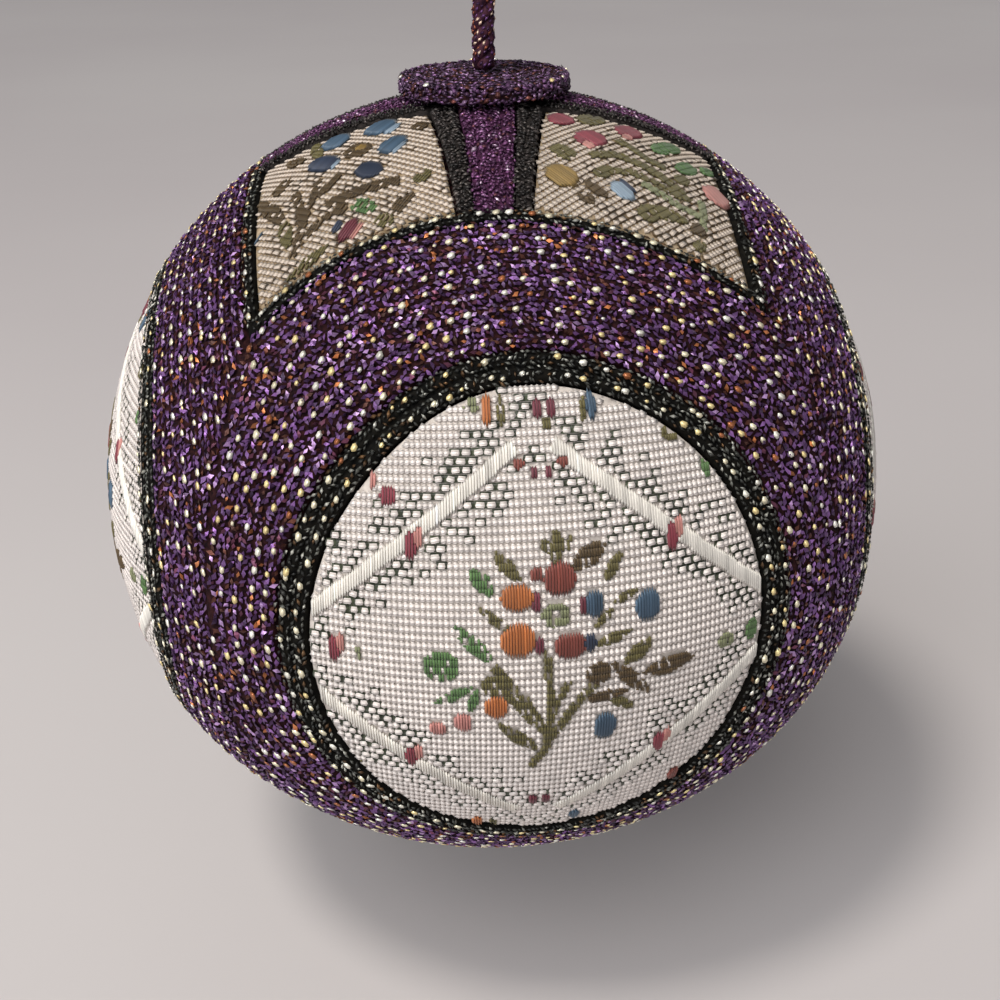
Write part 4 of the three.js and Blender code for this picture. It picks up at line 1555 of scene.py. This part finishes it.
def rib_beads(cloth, pairs):
    """The ivory beads of every rib, a little aslant like a twisted thread, except where floats cover them."""
    rib, bead = cloth["rib"] * MM, cloth["bead"] * MM
    batches = []
    for step in (0, 1):
        column = pairs["column"] + BEAD_COLUMNS * step + 1
        plain = ~pairs["bricks"] & (cloth["chart"][pairs["row"], column] == BARE)
        middle = pairs["u"][plain] + (step - 0.5) * cloth["bead"]
        out, along, across = cloth_frame(middle, pairs["v"][plain], cloth["axes"])
        tints = ivory_tints(cloth, len(out))
        lay = along + RIB_LEAN * across
        batches.append(grains(
            out * RIB_RADIUS, lay, out, BEAD_LENGTH * bead, BEAD_WIDTH * rib, BEAD_HEIGHT * rib, tints,
        ))
    return gathered(batches)


# %% Bricks over dark warp
BRICK_END = 0.4
BED_CORE = 0.72
BED_WIDTH = 0.68
BED_HEIGHT = 0.2
BED_GLOW = 0.25
BRICK_CORES = (0.28, 0.46)
BRICK_WIDTH = 0.5
BRICK_HEIGHT = 0.22
BRICK_SLIDE = 0.1
BRICK_LEAN = 0.12


def bricks_and_beds(cloth, pairs):
    """Short white bricks, each on a bed of dark warp that shows around it."""
    rib, bead = cloth["rib"] * MM, cloth["bead"] * MM
    marked = pairs["bricks"]
    out, along, across = cloth_frame(pairs["u"][marked], pairs["v"][marked], cloth["axes"])
    count = len(out)
    dark = cloth["warp"] * np.exp(chance.normal(0.0, BED_GLOW, (count, 1)))
    beds = grains(
        out * BED_RADIUS, along, out, BRICK_END * bead, BED_WIDTH * rib, BED_HEIGHT * rib, dark,
        core=BED_CORE * bead,
    )
    slide = along * chance.normal(0.0, BRICK_SLIDE, (count, 1)) * bead
    lean = along + chance.normal(0.0, BRICK_LEAN, (count, 1)) * across
    core = chance.uniform(*BRICK_CORES, count) * bead
    bricks = grains(
        out * BRICK_RADIUS + slide, lean, out, BRICK_END * bead, BRICK_WIDTH * rib, BRICK_HEIGHT * rib,
        ivory_tints(cloth, count), core=core,
    )
    return gathered([beds, bricks])


# %% Coloured floats
SATIN_HEIGHT = 0.14 * MM
SATIN_SWELL = 0.05
SATIN_LIMIT = 0.3 * MM
SATIN_WIDTH = 0.38
SATIN_CORE = 0.12
SATIN_GLOW = 0.12


def coloured_floats(cloth):
    """The floats of the motif. Long ones swell up between their ends."""
    runs = float_runs(cloth["chart"])
    v = (cloth["rows"][runs[:, 1]] + cloth["rows"][runs[:, 2]]) / 2
    out, along, across = cloth_frame(cloth["columns"][runs[:, 0]], v, cloth["axes"])
    rib, bead = cloth["rib"] * MM, cloth["bead"] * MM
    tall = (runs[:, 2] - runs[:, 1] + 1) * rib / FINE
    swell = np.minimum(SATIN_HEIGHT + SATIN_SWELL * tall, SATIN_LIMIT)
    glow = np.exp(chance.normal(0.0, SATIN_GLOW, (len(runs), 1)))
    tints = np.clip(YARN_TINTS[runs[:, 3]] * glow, 0.0, 1.0)
    return grains(
        out * FLOAT_RADIUS, across, out, tall / 2, SATIN_WIDTH * bead, swell, tints, core=SATIN_CORE * tall,
    )


# %% Weaving the roundels
ROUNDEL_RIB = 0.72
ROUNDEL_BEAD = 0.48
ROUNDEL_REACH = 24.5
ROUNDEL_IVORY = linear(230, 221, 215)
ROUNDEL_WARP = linear(56, 62, 44)
WEAVE_INSET = 0.35 * MM


def weave(name, cloth, kept, turn):
    """Sows the ribs and the floats of one cloth, and returns the two pieces."""
    pairs = bead_pairs(cloth)
    ribs = rib_beads(cloth, pairs)
    floats = gathered([bricks_and_beds(cloth, pairs), coloured_floats(cloth)])
    pieces = []
    for part, batch, template in (("ribs", ribs, DASH), ("floats", floats, FLOAT)):
        batch = turned_batch(chosen(batch, kept(batch)), turn)
        pieces.append(sow(f"{name}_{part}", batch, silk_yarn, template, place=carry))
    return pieces


def on_roundel(axis):
    """A test for the grains that lie on a roundel, clear of its dark ring."""
    limit = math.cos(ROUNDEL_EDGE - WEAVE_INSET / BALL_RADIUS)
    return lambda batch: unit(regular(batch["places"])) @ axis > limit


for quarter in QUARTERS:
    axis, east = quarter_axes(quarter)
    axes = (axis, east, np.array(UP))
    cloth = loom(
        (lattice, sprig), lattice_mortar, ROUNDEL_WARP, axes, ROUNDEL_REACH,
        ROUNDEL_RIB, ROUNDEL_BEAD, ROUNDEL_IVORY,
    )
    name = f"roundel_{quarter + 1}"
    woven = weave(name, cloth, on_roundel(axis), half_turn("upper"))

# %% Weaving the panels
PANEL_RIB = 0.68
PANEL_BEAD = 0.5
PANEL_REACH = 20.0
PANEL_IVORY = linear(206, 191, 176)
PANEL_WARP = linear(80, 62, 38)
PANEL_LATITUDE = math.radians(56.0)


def panel_axes(quarter):
    """The centre of an upper panel, with east along its ribs and north to the pole."""
    turn = np.array(quarter_turn(quarter))
    level = turn @ unit(np.array([1.0, -1.0, 0.0]))
    east = turn @ unit(np.array([1.0, 1.0, 0.0]))
    axis = level * math.cos(PANEL_LATITUDE) + np.array(UP) * math.sin(PANEL_LATITUDE)
    return axis, east, np.cross(axis, east)


def on_panel(quarter):
    """A test for the grains that lie on an upper panel, clear of the bands and the strips."""
    front, right = quarter_axes(quarter)
    limit = BALL_RADIUS * math.cos(OUTER_EDGE + WEAVE_INSET / BALL_RADIUS)

    def kept(batch):
        places = unit(regular(batch["places"])) * BALL_RADIUS
        ahead, aside = places @ front, places @ right
        clear = (ahead < limit) & (aside < limit) & (ahead > 0) & (aside > 0)
        clear &= aside > strip_half(ahead) + WEAVE_INSET
        return clear & (ahead > strip_half(aside) + WEAVE_INSET)

    return kept


for half in HALVES:
    for quarter in QUARTERS:
        motif = red_flower if quarter % 2 == 0 else blue_flower
        cloth = loom(
            (motif,), panel_mortar, PANEL_WARP, panel_axes(quarter), PANEL_REACH,
            PANEL_RIB, PANEL_BEAD, PANEL_IVORY,
        )
        name = f"{half}_panel_{quarter + 1}"
        woven = weave(name, cloth, on_panel(quarter), half_turn(half))

# %% [markdown]
# ## Floor and light
#
# The ball hangs just above a plain pale floor. A warm key light stands at the upper left near the camera, as
# the shade on the right side asks, and it is small enough to make the foil glint. A broad cool light from the
# left and a soft sun carry the colours, and a weak fill and the sky keep the shadows open.

# %% Floor
FLOOR_DROP = 12.0 * MM
FLOOR_HALF = 6.0
floor_shape = bmesh.new()
bmesh.ops.create_grid(floor_shape, x_segments=1, y_segments=1, size=FLOOR_HALF)
floor_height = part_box("lower_cap")[0].z - FLOOR_DROP
bmesh.ops.translate(floor_shape, verts=floor_shape.verts[:], vec=(0.0, 0.0, floor_height))
floor_mesh = bpy.data.meshes.new("floor")
floor_shape.to_mesh(floor_mesh)
floor_shape.free()
floor_finish = ground_finish("floor_finish", linear(196, 190, 190), linear(202, 197, 196), MATT, 3.0)
floor_mesh.materials.append(floor_finish)
floor = bpy.data.objects.new("floor", floor_mesh)
bpy.context.scene.collection.objects.link(floor)


# %% Lights
def area_light(name, offset, size, power, colour):
    data = bpy.data.lights.new(name, "AREA")
    data.shape = "DISK"
    data.size = size
    data.energy = power
    data.color = colour
    light = bpy.data.objects.new(name, data)
    light.location = BALL_CENTRE + Vector(offset)
    light.rotation_euler = Vector(offset).to_track_quat("Z", "Y").to_euler()
    bpy.context.scene.collection.objects.link(light)


WARM = (1.0, 0.95, 0.88)
COOL = (0.92, 0.95, 1.0)
SUN_FROM = Vector((-0.45, -0.75, 0.85))
area_light("key", offset=(-0.22, -0.26, 0.62), size=0.14, power=2.5, colour=WARM)
area_light("window", offset=(-0.60, -0.30, 0.15), size=0.30, power=1.5, colour=COOL)
area_light("fill", offset=(0.50, -0.55, 0.10), size=0.50, power=0.6, colour=COOL)
sun_data = bpy.data.lights.new("sun", "SUN")
sun_data.energy = 1.5
sun_data.angle = math.radians(40.0)
sun = bpy.data.objects.new("sun", sun_data)
sun.rotation_euler = SUN_FROM.to_track_quat("Z", "Y").to_euler()
bpy.context.scene.collection.objects.link(sun)
world = bpy.data.worlds.new("studio")
bpy.context.scene.world = world
world.use_nodes = True
world.node_tree.nodes["Background"].inputs["Color"].default_value = (0.80, 0.79, 0.80, 1.0)
world.node_tree.nodes["Background"].inputs["Strength"].default_value = 0.3
bpy.context.scene.view_settings.view_transform = "Standard"
print("lights ready")
